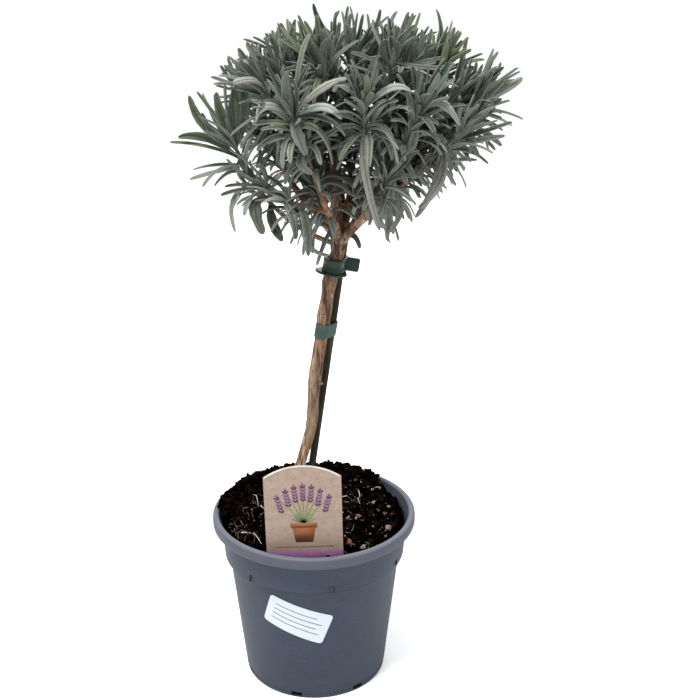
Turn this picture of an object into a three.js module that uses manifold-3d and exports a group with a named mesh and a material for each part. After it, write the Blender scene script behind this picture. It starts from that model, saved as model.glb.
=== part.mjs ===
// A lavender trained as a little tree, standing in its grey nursery pot.
//
// Millimetres, +Z up. The origin is the middle of the pot's underside, on the surface it stands on.
// -Y is the side that faces the viewer, with the plant label; +X is to the viewer's right.
//
// The pot is a turned shell, the soil fills it with a crumbly top, and the trunk, its stake and the
// label stand in plain holes in the soil. Two ties hold the trunk to the stake. Above them the trunk
// forks into limbs and twigs, and each twig carries one leafy shoot: a green stem with pairs of
// narrow leaves, each pair turned a quarter from the last.
import * as THREE from "three";
import { mergeVertices } from "three/addons/utils/BufferGeometryUtils.js";
import Module from "manifold-3d";

const wasm = await Module();
wasm.setup();

// ---------------------------------------------------------------------------------- dimensions

// Free space between two pieces that touch in the real plant.
const GAP = 0.35;

const POT = {
  height: 121,
  lipRadius: 70,
  lipInner: 65.4,
  lipDrop: 8,
  collarTop: 64.3,
  collarFoot: 62.2,
  collarFootHeight: 91,
  bodyTop: 59.4,
  baseRadius: 49.4,
  wall: 1.5,
  floor: 2,
  sides: 36,
};
// Stacking notches in the collar's lower edge, and drain slots round the foot.
const NOTCH = { count: 7, firstAngle: 11, width: 6, topWidth: 4.4, height: 5.5, depth: 0.9 };
const DRAIN = { firstAngle: -14.7, width: 8, inner: 38, height: 4.5 };

const SOIL = { level: 115, tilt: 5.5, crumb: 1.5, rings: [0.82, 0.56, 0.28], inset: 0.4 };

const STAKE = { radius: 2.6, foot: [-15, 7.5, 54], top: [21.6, 7.5, 311], sides: 10 };

// The trunk leans to the right and forks just above the upper tie.
const TRUNK = {
  points: [
    [-19, 0, 62],
    [-16, 0, 112],
    [-9, 0, 154],
    [-1, 0, 185],
    [1, 0, 212],
    [5, 0, 240],
    [9, 0, 268],
    [13, -0.5, 291],
    [18.5, -1.5, 310],
  ],
  footRadius: 3.7,
  topRadius: 5,
  sides: 9,
};
const FORK = new THREE.Vector3(...TRUNK.points.at(-1));

// Where each limb ends, as an offset from the fork, and its end radius.
const LIMBS = [
  { end: [-4, 3, 38], radius: 2.7 },
  { end: [31, -4, 34], radius: 2.9 },
  { end: [10, 30, 32], radius: 2.3 },
  { end: [-26, 12, 30], radius: 2.2 },
  { end: [-8, -27, 29], radius: 2.2 },
  { end: [25, -26, 31], radius: 2.1 },
];

// Shoots that give the crown its outline in the front view, by the place of their growing tip.
const FRONT_TIPS = [
  [-8, -60, 402],
  [31, -64, 406],
  [64, -56, 406],
  [103, -14, 406],
  [90, -30, 386],
  [-28, -26, 414],
  [6, -30, 430],
  [50, -22, 430],
  [80, -4, 421],
  [-36, 8, 402],
  [-27, -24, 353],
  [50, -38, 358],
  [-14, 20, 426],
  [26, 8, 428],
  [6, -30, 347],
  [58, 14, 426],
  [-12, -22, 342],
];
// One long shoot leaves the fork on the left and stands clear of the crown.
const LONG_SHOOT = { tip: [-45, -24, 380], leaving: [-0.9, -0.35, 0.3], leavesAt: 0.58, lean: 0.3, leaves: 1.2 };

// The other shoots share the crown's dome evenly, a golden angle apart.
const CROWN = {
  centre: new THREE.Vector3(27, 2, 382),
  radii: [74, 70, 48],
  places: 38,
  lowest: -0.62,
  taper: 0.8,
  spacing: 26.5,
};
const GOLDEN_ANGLE = Math.PI * (3 - Math.sqrt(5));

const SHOOT = { start: 0.4, baseRadius: 1.4, tipRadius: 1.2, sides: 4, lean: 0.62, shortest: 42, tries: 20 };
const LEAF = { width: 4.9, thickness: 1.3, length: 43, pairs: 7, rootDepth: 0.8 };

const TIE = { band: 10.5, stakeGrip: STAKE.radius + 0.6 };
const UPPER_TIE = { height: 296, thickness: 1.2, grip: 6.1 };
const LOWER_TIE = { height: 252, thickness: 0.8, grip: 5.4 };

const LABEL = {
  width: 50,
  shoulder: 58,
  arch: 8,
  spikeLength: 40,
  spikeWidth: 16,
  thickness: 0.8,
  place: [-5, -51.5, 113],
  roll: -1.3,
};

const STICKER = { width: 44, height: 24, thickness: 0.4, arc: -11.3, level: 66.6, turn: -19.6, corner: 2.4 };

// ------------------------------------------------------------------------------------- helpers

const vec = (values) => new THREE.Vector3(...values);
const radians = THREE.MathUtils.degToRad;
const mix = THREE.MathUtils.lerp;

// An even draw from 0 to 1 that depends on its seed alone, so one leaf never shifts another's.
function draw(seed) {
  const wave = Math.sin(seed * 12.9898 + 4.137) * 43758.5453;
  return wave - Math.floor(wave);
}

// A closed geometry as a solid that can be joined and cut.
function solidOf(geometry) {
  const bare = geometry.index ? geometry.toNonIndexed() : geometry.clone();
  bare.deleteAttribute("normal");
  bare.deleteAttribute("uv");
  const merged = mergeVertices(bare, 1e-4);
  return new wasm.Manifold(
    new wasm.Mesh({
      numProp: 3,
      vertProperties: merged.attributes.position.array,
      triVerts: new Uint32Array(merged.index.array),
    }),
  );
}

// A solid as a flat-shaded geometry.
function geometryOf(solid) {
  const { vertProperties, triVerts } = solid.simplify(0.01).getMesh();
  const geometry = new THREE.BufferGeometry()
    .setAttribute("position", new THREE.BufferAttribute(vertProperties, 3))
    .setIndex(new THREE.BufferAttribute(triVerts, 1))
    .toNonIndexed();
  geometry.computeVertexNormals();
  return geometry;
}

// Moves every vertex of a geometry by a rule.
function reshape(geometry, rule) {
  const position = geometry.attributes.position;
  const spot = new THREE.Vector3();
  for (let i = 0; i < position.count; i++) {
    rule(spot.fromBufferAttribute(position, i));
    position.setXYZ(i, spot.x, spot.y, spot.z);
  }
  return geometry;
}

// A tapering limb or blade: the rings of a cylinder, or of a sphere where both ends are pointed, set
// along a path. `size` gives the half-sizes across and under the path at a station, and `side` is
// the way its first half-size points.
function sweep({ path, stations, sides, size, side, pointed = false }) {
  const spans = stations.length - 1;
  const frames = stations.map((t) => {
    const along = path.getTangent(t);
    const under = new THREE.Vector3().crossVectors(side, along).normalize();
    return { t, centre: path.getPoint(t), under, across: new THREE.Vector3().crossVectors(along, under) };
  });
  const shape = pointed
    ? new THREE.SphereGeometry(1, sides, spans, Math.PI / 2)
    : new THREE.CylinderGeometry(1, 1, 2, sides, spans);
  reshape(shape, (spot) => {
    const rise = pointed ? 1 - Math.acos(spot.y) / Math.PI : (spot.y + 1) / 2;
    const { t, centre, under, across } = frames[Math.round(rise * spans)];
    const reach = Math.hypot(spot.x, spot.z) > 1e-6 ? 1 : 0;
    const turn = Math.atan2(spot.x, spot.z);
    const [wide, deep] = size(t, turn);
    spot
      .copy(centre)
      .addScaledVector(across, reach * wide * Math.sin(turn))
      .addScaledVector(under, reach * deep * Math.cos(turn));
  });
  return solidOf(shape);
}


// Solids joined into one, with any pocket that is closed in among them filled.
const joined = (solids) =>
  wasm.Manifold.union(solids)
    .decompose()
    .reduce((whole, part) => (part.volume() > whole.volume() ? part : whole));

const round = (radiusAt) => (t, turn) => [radiusAt(t, turn), radiusAt(t, turn)];
const evenStations = (from, to, spans) =>
  Array.from({ length: spans + 1 }, (_, i) => mix(from, to, i / spans));

// ------------------------------------------------------------------------------------- the pot

function turned(profile, sides) {
  const lathe = new THREE.LatheGeometry(
    profile.map(([r, z]) => new THREE.Vector2(r, z)),
    sides,
  );
  return lathe.rotateX(Math.PI / 2);
}

// A point at an angle round the pot, measured from the front towards the right.
const roundPot = (degrees, radius, z) =>
  new THREE.Vector3(radius * Math.sin(radians(degrees)), -radius * Math.cos(radians(degrees)), z);

// The inside of the wall, from the floor up to the lip.
const potInside = [
  [POT.baseRadius - POT.wall, POT.floor],
  [POT.bodyTop - POT.wall, POT.collarFootHeight - 1],
  [POT.collarFoot - POT.wall, POT.collarFootHeight + 1],
  [POT.collarTop - POT.wall, POT.height - POT.lipDrop - 1],
];

function potSolid() {
  const { height, lipRadius, lipInner, lipDrop, baseRadius } = POT;
  const outside = [
    [0, 0],
    [baseRadius - 1, 0],
    [baseRadius, 1.2],
    [POT.bodyTop, POT.collarFootHeight - 1],
    [POT.collarFoot, POT.collarFootHeight],
    [POT.collarTop, height - lipDrop],
    [lipRadius - 1, height - lipDrop],
    [lipRadius, height - lipDrop + 1.6],
    [lipRadius, height - 1.6],
    [lipRadius - 1.4, height],
    [lipInner + 1, height],
    [lipInner, height - 1.4],
  ];
  const inside = potInside.toReversed().concat([[0, POT.floor]]);
  const shell = solidOf(turned([...outside, ...inside], POT.sides));
  return wasm.Manifold.difference([shell, ...collarNotches(), ...drainSlots()]);
}

function collarNotches() {
  const { count, firstAngle, width, topWidth, height, depth } = NOTCH;
  const outline = new THREE.Shape([
    new THREE.Vector2(-width / 2, -2),
    new THREE.Vector2(width / 2, -2),
    new THREE.Vector2(topWidth / 2, height),
    new THREE.Vector2(-topWidth / 2, height),
  ]);
  return Array.from({ length: count }, (_, i) => {
    const angle = firstAngle + (i * 360) / count;
    const block = new THREE.ExtrudeGeometry(outline, { depth: 6, bevelEnabled: false });
    const foot = roundPot(angle, POT.collarFoot - depth, POT.collarFootHeight);
    block.rotateX(Math.PI / 2).translate(0, 0, 0);
    block.rotateZ(radians(angle)).translate(foot.x, foot.y, foot.z);
    return solidOf(block);
  });
}

function drainSlots() {
  const reach = POT.baseRadius + 3 - DRAIN.inner;
  return Array.from({ length: NOTCH.count }, (_, i) => {
    const angle = DRAIN.firstAngle + (i * 360) / NOTCH.count;
    const slot = new THREE.BoxGeometry(DRAIN.width, reach, 2 * DRAIN.height);
    slot.translate(0, -DRAIN.inner - reach / 2, 0).rotateZ(radians(angle));
    return solidOf(slot);
  });
}

// ------------------------------------------------------------------------------------ the soil

// The crumbly top: higher at the back, with lumps of three sizes.
function soilTop(x, y) {
  const lumps =
    Math.sin(x * 0.31 + 1.7) * Math.cos(y * 0.27 - 0.6) +
    0.7 * Math.sin(x * 0.57 - y * 0.43 + 2.1) +
    0.6 * Math.cos(x * 0.83 + y * 0.71);
  return SOIL.level + (SOIL.tilt * y) / POT.collarTop + SOIL.crumb * lumps;
}

function soilSolid(holes) {
  const wall = potInside.map(([r, z], i) => [r - SOIL.inset, i === 0 ? z + GAP : z]);
  const edge = wall.at(-1)[0];
  const rings = SOIL.rings.map((share) => [edge * share, POT.height]);
  const profile = [[0, POT.floor + GAP], ...wall.slice(0, -1), [edge, POT.height], ...rings, [0, POT.height]];
  const body = reshape(turned(profile, POT.sides), (spot) => {
    if (spot.z > POT.height - 1) spot.z = soilTop(spot.x, spot.y);
  });
  return wasm.Manifold.difference([solidOf(body), ...holes]);
}

// ----------------------------------------------------------------------- the stake and the ties

const stakeLine = new THREE.LineCurve3(vec(STAKE.foot), vec(STAKE.top));

function stakeSolid(extra = 0) {
  return sweep({
    path: stakeLine,
    stations: [0, 1],
    sides: STAKE.sides,
    size: round(() => STAKE.radius + extra),
    side: new THREE.Vector3(0, 1, 0),
  });
}

// The outline of a strap pulled round two rods: two half rounds joined by straight sides.
function strapOutline(a, b, radiusA, radiusB, thickness) {
  const between = b.clone().sub(a);
  const heading = between.angle();
  const flare = Math.acos((radiusA - radiusB) / between.length());
  const path = new THREE.Path();
  const arc = (centre, radius, from, to) => path.absarc(centre.x, centre.y, radius + thickness, from, to, false);
  arc(a, radiusA, heading + flare, heading + 2 * Math.PI - flare);
  arc(b, radiusB, heading - flare, heading + flare);
  return path.getPoints(5);
}

// A tie at a height on the trunk, square to the way the trunk leans there: a strap pulled round the
// trunk and the stake, with any extra pieces that are moulded on it.
function tieSolid({ height, thickness, grip }, extras = []) {
  const onTrunk = pointAtHeight(trunkPath, height);
  const onStake = pointAtHeight(stakeLine, height);
  const trunkEnd = new THREE.Vector2(0, 0);
  const stakeEnd = new THREE.Vector2(onStake.x - onTrunk.x, onStake.y - onTrunk.y);
  const block = (extra, depth) => {
    const outline = strapOutline(trunkEnd, stakeEnd, grip, TIE.stakeGrip, extra);
    const shape = new THREE.ExtrudeGeometry(new THREE.Shape(outline), { depth, bevelEnabled: false });
    return shape.translate(0, 0, -depth / 2);
  };
  const inPlace = (geometry) =>
    solidOf(geometry.applyMatrix4(trunkLean).translate(onTrunk.x, onTrunk.y, onTrunk.z));
  const outside = wasm.Manifold.union([block(thickness, TIE.band), ...extras].map(inPlace));
  return outside.subtract(inPlace(block(0, TIE.band + 4)));
}

// The upper tie is moulded, with a flat tongue out at the left and its end out at the right.
function upperTieSolid() {
  const tongue = new THREE.CylinderGeometry(1, 1, 1.6, 16).rotateX(Math.PI / 2);
  tongue.scale(10.5, 8, 1).translate(-0.6, -0.6, -TIE.band / 2 + 0.8);
  const end = new THREE.BoxGeometry(9, 1.6, 9.2).translate(12.6, 8.4, 0.2);
  return tieSolid(UPPER_TIE, [tongue, end]);
}

// ------------------------------------------------------------------------- the trunk and limbs

const trunkPath = new THREE.CatmullRomCurve3(TRUNK.points.map(vec));

function trunkRadius(t, turn = 0) {
  const bark = 0.05 * Math.sin(3 * turn + 9 * t) + 0.04 * Math.sin(5 * turn - 14 * t);
  const knuckles = 0.04 * Math.sin(t * 37) + 0.03 * Math.sin(t * 61 + 1);
  return mix(TRUNK.footRadius, TRUNK.topRadius, t * t) * (1 + bark + knuckles);
}

// The point of a rising path at a height.
function pointAtHeight(path, height) {
  let [low, high] = [0, 1];
  for (let i = 0; i < 30; i++) {
    const middle = (low + high) / 2;
    if (path.getPoint(middle).z < height) low = middle;
    else high = middle;
  }
  return path.getPoint(low);
}

const trunkLean = new THREE.Matrix4().makeRotationFromQuaternion(
  new THREE.Quaternion().setFromUnitVectors(
    new THREE.Vector3(0, 0, 1),
    pointAtHeight(trunkPath, UPPER_TIE.height)
      .sub(pointAtHeight(trunkPath, LOWER_TIE.height))
      .normalize(),
  ),
);

const limbs = LIMBS.map(({ end, radius }) => {
  const tip = FORK.clone().add(vec(end));
  const elbow = FORK.clone().add(new THREE.Vector3(end[0] * 0.35, end[1] * 0.35, end[2] * 0.55));
  return { path: new THREE.QuadraticBezierCurve3(FORK.clone(), elbow, tip), tip, radius, twigs: 0 };
});

// The trunk and its limbs, as the pieces they are joined from.
function trunkPieces() {
  const stem = sweep({
    path: trunkPath,
    stations: evenStations(0, 1, 15),
    sides: TRUNK.sides,
    size: round(trunkRadius),
    side: new THREE.Vector3(0, 1, 0),
  });
  const knot = new THREE.SphereGeometry(TRUNK.topRadius * 1.05, 8, 5).translate(FORK.x, FORK.y, FORK.z);
  const arms = limbs.map(({ path, radius }) =>
    sweep({
      path,
      stations: [0, 0.35, 0.7, 1],
      sides: 6,
      size: round((t) => mix(TRUNK.topRadius * 0.72, radius, t)),
      side: crossways(path),
    }),
  );
  return [stem, solidOf(knot), ...arms];
}

// A direction square to the whole of a gently bent path.
function crossways(path) {
  const chord = path.getPoint(1).sub(path.getPoint(0)).normalize();
  const helper = Math.abs(chord.y) < 0.8 ? new THREE.Vector3(0, 1, 0) : new THREE.Vector3(1, 0, 0);
  return helper.cross(chord).normalize();
}

// ---------------------------------------------------------------------------- the leafy shoots

const UP = new THREE.Vector3(0, 0, 1);
const DOWN = new THREE.Vector3(0, 0, -1);

// The growing tips: the ones set by hand, and then every dome place that is not too near another.
function shootTips() {
  const tips = FRONT_TIPS.map(vec);
  const far = (spot) => tips.every((other) => other.distanceTo(spot) > CROWN.spacing);
  const outlier = vec(LONG_SHOOT.tip);
  for (let i = 0; i < CROWN.places; i++) {
    const rise = mix(CROWN.lowest, 1, (i + 0.5) / CROWN.places);
    const girth = Math.sqrt(1 - rise * rise) * (1 + CROWN.taper * Math.min(0, rise));
    const angle = i * GOLDEN_ANGLE;
    const spot = CROWN.centre.clone().add(
      new THREE.Vector3(
        CROWN.radii[0] * girth * Math.cos(angle),
        CROWN.radii[1] * girth * Math.sin(angle),
        CROWN.radii[2] * rise,
      ),
    );
    if (far(spot) && spot.distanceTo(outlier) > CROWN.spacing) tips.push(spot);
  }
  return [...tips, outlier];
}

// A shoot's path leaves the limb that ends nearest and turns upwards at its tip.
function shootAt(tip, index, long) {
  const limb = limbs.reduce((best, other) =>
    other.tip.distanceTo(tip) < best.tip.distanceTo(tip) ? other : best,
  );
  let along = Math.max(0.3, 1 - 0.13 * limb.twigs);
  while (along > 0.35 && limb.path.getPoint(along).distanceTo(tip) < SHOOT.shortest) along -= 0.1;
  const from = long ? FORK : limb.path.getPoint(along);
  const span = tip.distanceTo(from);
  const chord = tip.clone().sub(from).normalize();
  const leaving = long ? vec(LONG_SHOOT.leaving) : limb.path.getTangent(along).add(chord).normalize();
  const outwards = tip.clone().sub(CROWN.centre).setZ(0).divideScalar(CROWN.radii[0]);
  const heading = UP.clone().addScaledVector(outwards, long ? LONG_SHOOT.lean : SHOOT.lean).normalize();
  const path = new THREE.CubicBezierCurve3(
    from.clone(),
    from.clone().addScaledVector(leaving, span * 0.3),
    tip.clone().addScaledVector(heading, -span * 0.38),
    tip,
  );
  const side = crossways(path).applyAxisAngle(chord, Math.PI * draw(index + 0.5));
  const [start, leaves] = long ? [LONG_SHOOT.leavesAt, LONG_SHOOT.leaves] : [SHOOT.start, 1];
  return { index, path, limb, side, start, leaves };
}

// The woody foot of a shoot, which is joined to the trunk.
function twigSolid({ path, side, start }) {
  return sweep({
    path,
    stations: evenStations(0, start, 2),
    sides: 3,
    size: round((t) => mix(2, SHOOT.baseRadius, t / start)),
    side,
  });
}

function shootStem({ path, start, side }) {
  const lift = 0.55 / path.getLength();
  return sweep({
    path,
    stations: [start + lift, mix(start, 1, 0.4), mix(start, 1, 0.72), 1],
    sides: SHOOT.sides,
    size: round((t) => mix(SHOOT.baseRadius, SHOOT.tipRadius, (t - start) / (1 - start))),
    side,
  });
}

// One blade: flat above with a keel under it, widest at the middle, and blunt at the tip. Its root ends
// in a point inside the stem. A blade that arches far has one more station.
const STRAIGHT_BLADE = { stations: [0, 0.45, 0.9, 1], widths: [0, 1, 0.8, 0] };
const ARCHED_BLADE = { stations: [0, 0.3, 0.62, 0.9, 1], widths: [0, 0.84, 1, 0.8, 0] };

function blade({ root, heading, above, length, droop, arched }) {
  const side = above.clone().cross(heading).normalize();
  const { stations, widths } = arched ? ARCHED_BLADE : STRAIGHT_BLADE;
  const bend = Math.min(droop, 105, 0.85 * THREE.MathUtils.radToDeg(heading.angleTo(DOWN)));
  const axis = heading.clone().cross(DOWN).normalize();
  const fall = heading.clone().applyAxisAngle(axis, radians(bend));
  const elbow = root.clone().addScaledVector(heading, length * 0.45);
  return sweep({
    path: new THREE.QuadraticBezierCurve3(root, elbow, elbow.clone().addScaledVector(fall, length * 0.55)),
    stations,
    sides: 3,
    size: (t) => [(LEAF.width / Math.sqrt(3)) * widths[stations.indexOf(t)], LEAF.thickness / 1.5],
    side,
    pointed: true,
  });
}

// What a leaf of a shoot looks like by its rank: 0 is the oldest pair and 1 the youngest.
function leafForm(shoot, pair, half) {
  const rank = pair / (LEAF.pairs - 1);
  const seed = shoot.index * 97 + pair * 7 + half * 3;
  const full = LEAF.length * (0.7 + 0.5 * rank - 0.42 * rank ** 3);
  const at = mix(shoot.start + 0.07, 0.96, 1 - (1 - rank) ** 1.35);
  const hang = THREE.MathUtils.clamp((375 - shoot.path.getPoint(at).z) / 35, 0, 1);
  return {
    rank,
    at,
    arched: pair === 0,
    angle: mix(60, 15, rank) + 12 * (draw(seed) - 0.5),
    turn: 45 + 90 * pair + 180 * half + 24 * (draw(seed + 0.3) - 0.5),
    length: full * shoot.leaves * (0.9 + 0.2 * draw(seed + 0.6)),
    droop: 100 * (1 - rank) ** 0.75 + 30 * hang,
  };
}

// Ways to bend a leaf clear of its neighbours: turn round the stem, angle from it, share of length.
const BENDS = [
  [0, 0, 1],
  [14, 0, 1],
  [-14, 0, 1],
  [0, 9, 1],
  [0, -9, 1],
  [24, 8, 0.94],
  [-24, 8, 0.94],
  [26, -10, 0.9],
  [-26, -10, 0.9],
  [40, 0, 0.85],
  [-40, 0, 0.85],
  [0, -16, 0.75],
  [0, 16, 0.75],
];

function leafSolid(shoot, form, [turn, tilt, share]) {
  const along = shoot.path.getTangent(form.at);
  const out = shoot.side.clone().projectOnPlane(along).normalize();
  out.applyAxisAngle(along, radians(form.turn + turn));
  const angle = radians(form.angle + tilt);
  const heading = along.clone().multiplyScalar(Math.cos(angle)).addScaledVector(out, Math.sin(angle));
  return blade({
    root: shoot.path.getPoint(form.at).addScaledVector(heading, -LEAF.rootDepth),
    heading,
    above: along,
    length: form.length * share,
    droop: form.droop,
    arched: form.arched,
  });
}

// Solids that are already placed, each with its owner and its box.
const placed = [];

function place(owner, solid) {
  placed.push({ owner, solid, box: solid.boundingBox() });
  return solid;
}

function isClear(owner, solid) {
  const { min, max } = solid.boundingBox();
  return placed.every(
    (other) =>
      other.owner === owner ||
      [0, 1, 2].some((k) => other.box.min[k] > max[k] + GAP || other.box.max[k] < min[k] - GAP) ||
      solid.minGap(other.solid, 2 * GAP) >= GAP,
  );
}

// Places each shoot's twig and stem, with its tip moved by small steps until both are clear.
function growStems() {
  const tips = shootTips();
  const shoots = [];
  for (const [i, tip] of tips.entries())
    for (let step = 0; step < SHOOT.tries; step++) {
      const aside = vec([Math.cos(step * GOLDEN_ANGLE), Math.sin(step * GOLDEN_ANGLE), 0.4]);
      const shoot = shootAt(tip.clone().addScaledVector(aside, 1.5 * step), i, i === tips.length - 1);
      const twig = twigSolid(shoot);
      const stem = shootStem(shoot);
      if (isClear("trunk", twig) && isClear(i, stem)) {
        place("trunk", twig);
        shoot.pieces = [place(i, stem)];
        shoot.limb.twigs += 1;
        shoots.push(shoot);
        break;
      }
    }
  return shoots;
}

// Grows the leaves of all the shoots, the youngest pairs first, each bent clear of what is there.
function growLeaves(shoots) {
  for (let pair = LEAF.pairs - 1; pair >= 0; pair--)
    for (const shoot of shoots)
      for (const half of [0, 1]) {
        const form = leafForm(shoot, pair, half);
        for (const bend of BENDS) {
          const leaf = leafSolid(shoot, form, bend);
          if (isClear(shoot.index, leaf)) {
            shoot.pieces.push(place(shoot.index, leaf));
            break;
          }
        }
      }
}

// ---------------------------------------------------------------------- the label and the sticker

function labelSolid(extra = 0) {
  const { width, shoulder, arch, spikeLength, spikeWidth, thickness, place: at, roll } = LABEL;
  const half = width / 2 + extra;
  const rise = (half * half + arch * arch) / (2 * arch);
  const sweepAngle = Math.asin(half / rise);
  const outline = new THREE.Shape();
  outline.moveTo(-spikeWidth / 2 - extra, -spikeLength - extra);
  outline.lineTo(spikeWidth / 2 + extra, -spikeLength - extra);
  outline.lineTo(half, -6);
  outline.lineTo(half, shoulder);
  outline.absarc(0, shoulder + arch - rise, rise, Math.PI / 2 - sweepAngle, Math.PI / 2 + sweepAngle, false);
  outline.lineTo(-half, -6);
  const depth = thickness + 2 * extra;
  const card = new THREE.ExtrudeGeometry(outline, { depth, bevelEnabled: false, curveSegments: 10 });
  card.translate(0, 0, -depth / 2).rotateX(Math.PI / 2).rotateY(radians(roll));
  return solidOf(card.translate(...at));
}

// The radius of the pot's outside below the collar.
const potRadius = (z) => mix(POT.baseRadius, POT.bodyTop, z / POT.collarFootHeight);

// A thin card bent round the pot, with its corners clipped round.
function stickerSolid() {
  const { width, height, thickness, arc, level, turn, corner } = STICKER;
  const columns = 10;
  const card = new THREE.BoxGeometry(width, height, thickness, columns, 1, 1);
  const lift = 0.5 + thickness / 2;
  return solidOf(
    reshape(card, (spot) => {
      const fromEnd = columns / 2 - Math.abs(Math.round((spot.x / width) * columns));
      const clip = [corner, 0.3 * corner][fromEnd] ?? 0;
      const inset = [0, 0.3 * corner, corner][fromEnd];
      if (inset !== undefined) spot.x = Math.sign(spot.x) * (width / 2 - inset);
      spot.y -= Math.sign(spot.y) * clip;
      const [x, y] = [spot.x, spot.y];
      const [c, s] = [Math.cos(radians(turn)), Math.sin(radians(turn))];
      const z = level + x * s + y * c;
      const radius = potRadius(z) + lift + spot.z;
      spot.copy(roundPot(THREE.MathUtils.radToDeg((arc + x * c - y * s) / potRadius(level)), radius, z));
    }),
  );
}

// ---------------------------------------------------------------------------------- the assembly

const FINISH = {
  pot: { color: 0x6d7178, roughness: 0.55 },
  soil: { color: 0x1d1512, roughness: 1 },
  bark: { color: 0x8d6b50, roughness: 0.9 },
  stake: { color: 0x3b342a, roughness: 0.7 },
  tie: { color: 0x2f5a4e, roughness: 0.5 },
  card: { color: 0xcdb9a0, roughness: 0.85 },
  sticker: { color: 0xe9eef2, roughness: 0.6 },
  leaf: { color: 0x6f7f70, roughness: 0.85 },
};

const plant = new THREE.Group();

function add(name, solid, finish) {
  const mesh = new THREE.Mesh(geometryOf(solid), new THREE.MeshStandardMaterial({ ...FINISH[finish], metalness: 0 }));
  mesh.name = name;
  plant.add(mesh);
}

for (const piece of trunkPieces()) place("trunk", piece);
const stake = place("stake", stakeSolid());
const upperTie = place("upper_tie", upperTieSolid());
const lowerTie = place("lower_tie", tieSolid(LOWER_TIE));
const shoots = growStems();
growLeaves(shoots);

const trunkHole = sweep({
  path: trunkPath,
  stations: [0, 0.2, 0.4],
  sides: 8,
  size: round((t) => 1.2 * trunkRadius(t) + 1),
  side: new THREE.Vector3(0, 1, 0),
});

add("pot", potSolid(), "pot");
add("soil", soilSolid([trunkHole, stakeSolid(0.5), labelSolid(0.5)]), "soil");
add("trunk", joined(placed.filter((piece) => piece.owner === "trunk").map((piece) => piece.solid)), "bark");
add("stake", stake, "stake");
add("upper_tie", upperTie, "tie");
add("lower_tie", lowerTie, "tie");
add("label", labelSolid(), "card");
add("sticker", stickerSolid(), "sticker");
shoots.forEach(({ pieces }, i) => add(`shoot_${String(i + 1).padStart(2, "0")}`, joined(pieces), "leaf"));

export default plant;
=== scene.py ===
# %% [markdown]
# # A potted lavender, trained as a little tree
#
# This lesson dresses a plain solid model of a lavender in its grey nursery pot. Every size is in
# millimetres while a piece is worked out, and is turned into metres when its mesh is made. The
# origin is the middle of the pot's underside, +Z is up, and -Y is the side with the plant label.

import math

import bmesh
import bpy
import numpy as np
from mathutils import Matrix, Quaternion, Vector, kdtree, noise


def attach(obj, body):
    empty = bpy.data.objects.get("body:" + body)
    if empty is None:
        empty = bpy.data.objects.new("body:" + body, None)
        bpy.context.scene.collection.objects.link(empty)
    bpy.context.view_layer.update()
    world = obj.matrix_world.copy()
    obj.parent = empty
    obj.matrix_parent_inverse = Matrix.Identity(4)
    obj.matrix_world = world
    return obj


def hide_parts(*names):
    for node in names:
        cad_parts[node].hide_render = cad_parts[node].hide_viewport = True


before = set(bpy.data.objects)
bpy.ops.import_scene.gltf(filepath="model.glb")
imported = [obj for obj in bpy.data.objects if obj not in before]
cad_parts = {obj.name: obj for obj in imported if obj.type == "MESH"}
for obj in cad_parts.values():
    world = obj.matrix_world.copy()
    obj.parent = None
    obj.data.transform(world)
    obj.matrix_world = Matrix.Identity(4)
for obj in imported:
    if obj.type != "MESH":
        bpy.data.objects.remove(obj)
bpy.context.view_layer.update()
MM = 0.001
print("the plain model has", len(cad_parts), "nodes")

# %% [markdown]
# ## The camera
#
# The view was worked out from the pot, whose rim, step and base are circles of known size. A circle
# seen from a height shows as an ellipse, and how flat it is tells how steeply the camera looks down.
# Another way is to match by eye, but a fit to three circles leaves less to guess.

# %% The camera
CAMERA_PLACE = (15.98, -712.41, 500.31)
LOOK_DOWN, LOOK_RIGHT = 20.216, 0.7207
FOCAL_PIXELS, PICTURE_PIXELS, SENSOR_WIDTH = 1151.3, 700, 36

camera_data = bpy.data.cameras.new("camera")
camera_data.sensor_width = SENSOR_WIDTH
camera_data.lens = SENSOR_WIDTH * FOCAL_PIXELS / PICTURE_PIXELS
camera_data.clip_start = 0.01
camera = bpy.data.objects.new("camera", camera_data)
camera.location = Vector(CAMERA_PLACE) * MM
camera.rotation_euler = (math.radians(90 - LOOK_DOWN), 0, math.radians(-LOOK_RIGHT))
bpy.context.scene.collection.objects.link(camera)
bpy.context.scene.camera = camera
print("lens", round(camera_data.lens, 1), "mm")

# %% [markdown]
# ## Maths for paths and meshes
#
# Nearly everything on a plant is a tube or a blade that follows a curved line. So one helper sets
# rings of points along a line, and the pieces differ only in the line and in the shape of the ring.
# Blender's own curve objects could do the round ones, but not a leaf with a groove and rolled edges.


# %% Points, turns and draws
def vec(*values):
    return Vector(values)


def unit(vector):
    return vector.normalized()


def mix(a, b, t):
    return a + (b - a) * t


def clamp(value, low, high):
    return max(low, min(high, value))


def smooth(low, high, value):
    t = clamp((value - low) / (high - low), 0, 1)
    return t * t * (3 - 2 * t)


def draw(seed):
    """An even draw from 0 to 1 that depends on its seed alone."""
    wave = math.sin(seed * 12.9898 + 4.137) * 43758.5453
    return wave - math.floor(wave)


def turned(vector, axis, degrees):
    return Quaternion(axis, math.radians(degrees)) @ vector


def spin(degrees):
    """The cosine and the sine of an angle."""
    return math.cos(math.radians(degrees)), math.sin(math.radians(degrees))


UP, DOWN, BACK = vec(0, 0, 1), vec(0, 0, -1), vec(0, 1, 0)
FULL_TURN, GOLDEN_ANGLE = 2 * math.pi, math.pi * (3 - math.sqrt(5))
print("the golden angle:", round(math.degrees(GOLDEN_ANGLE), 1), "degrees")


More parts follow.
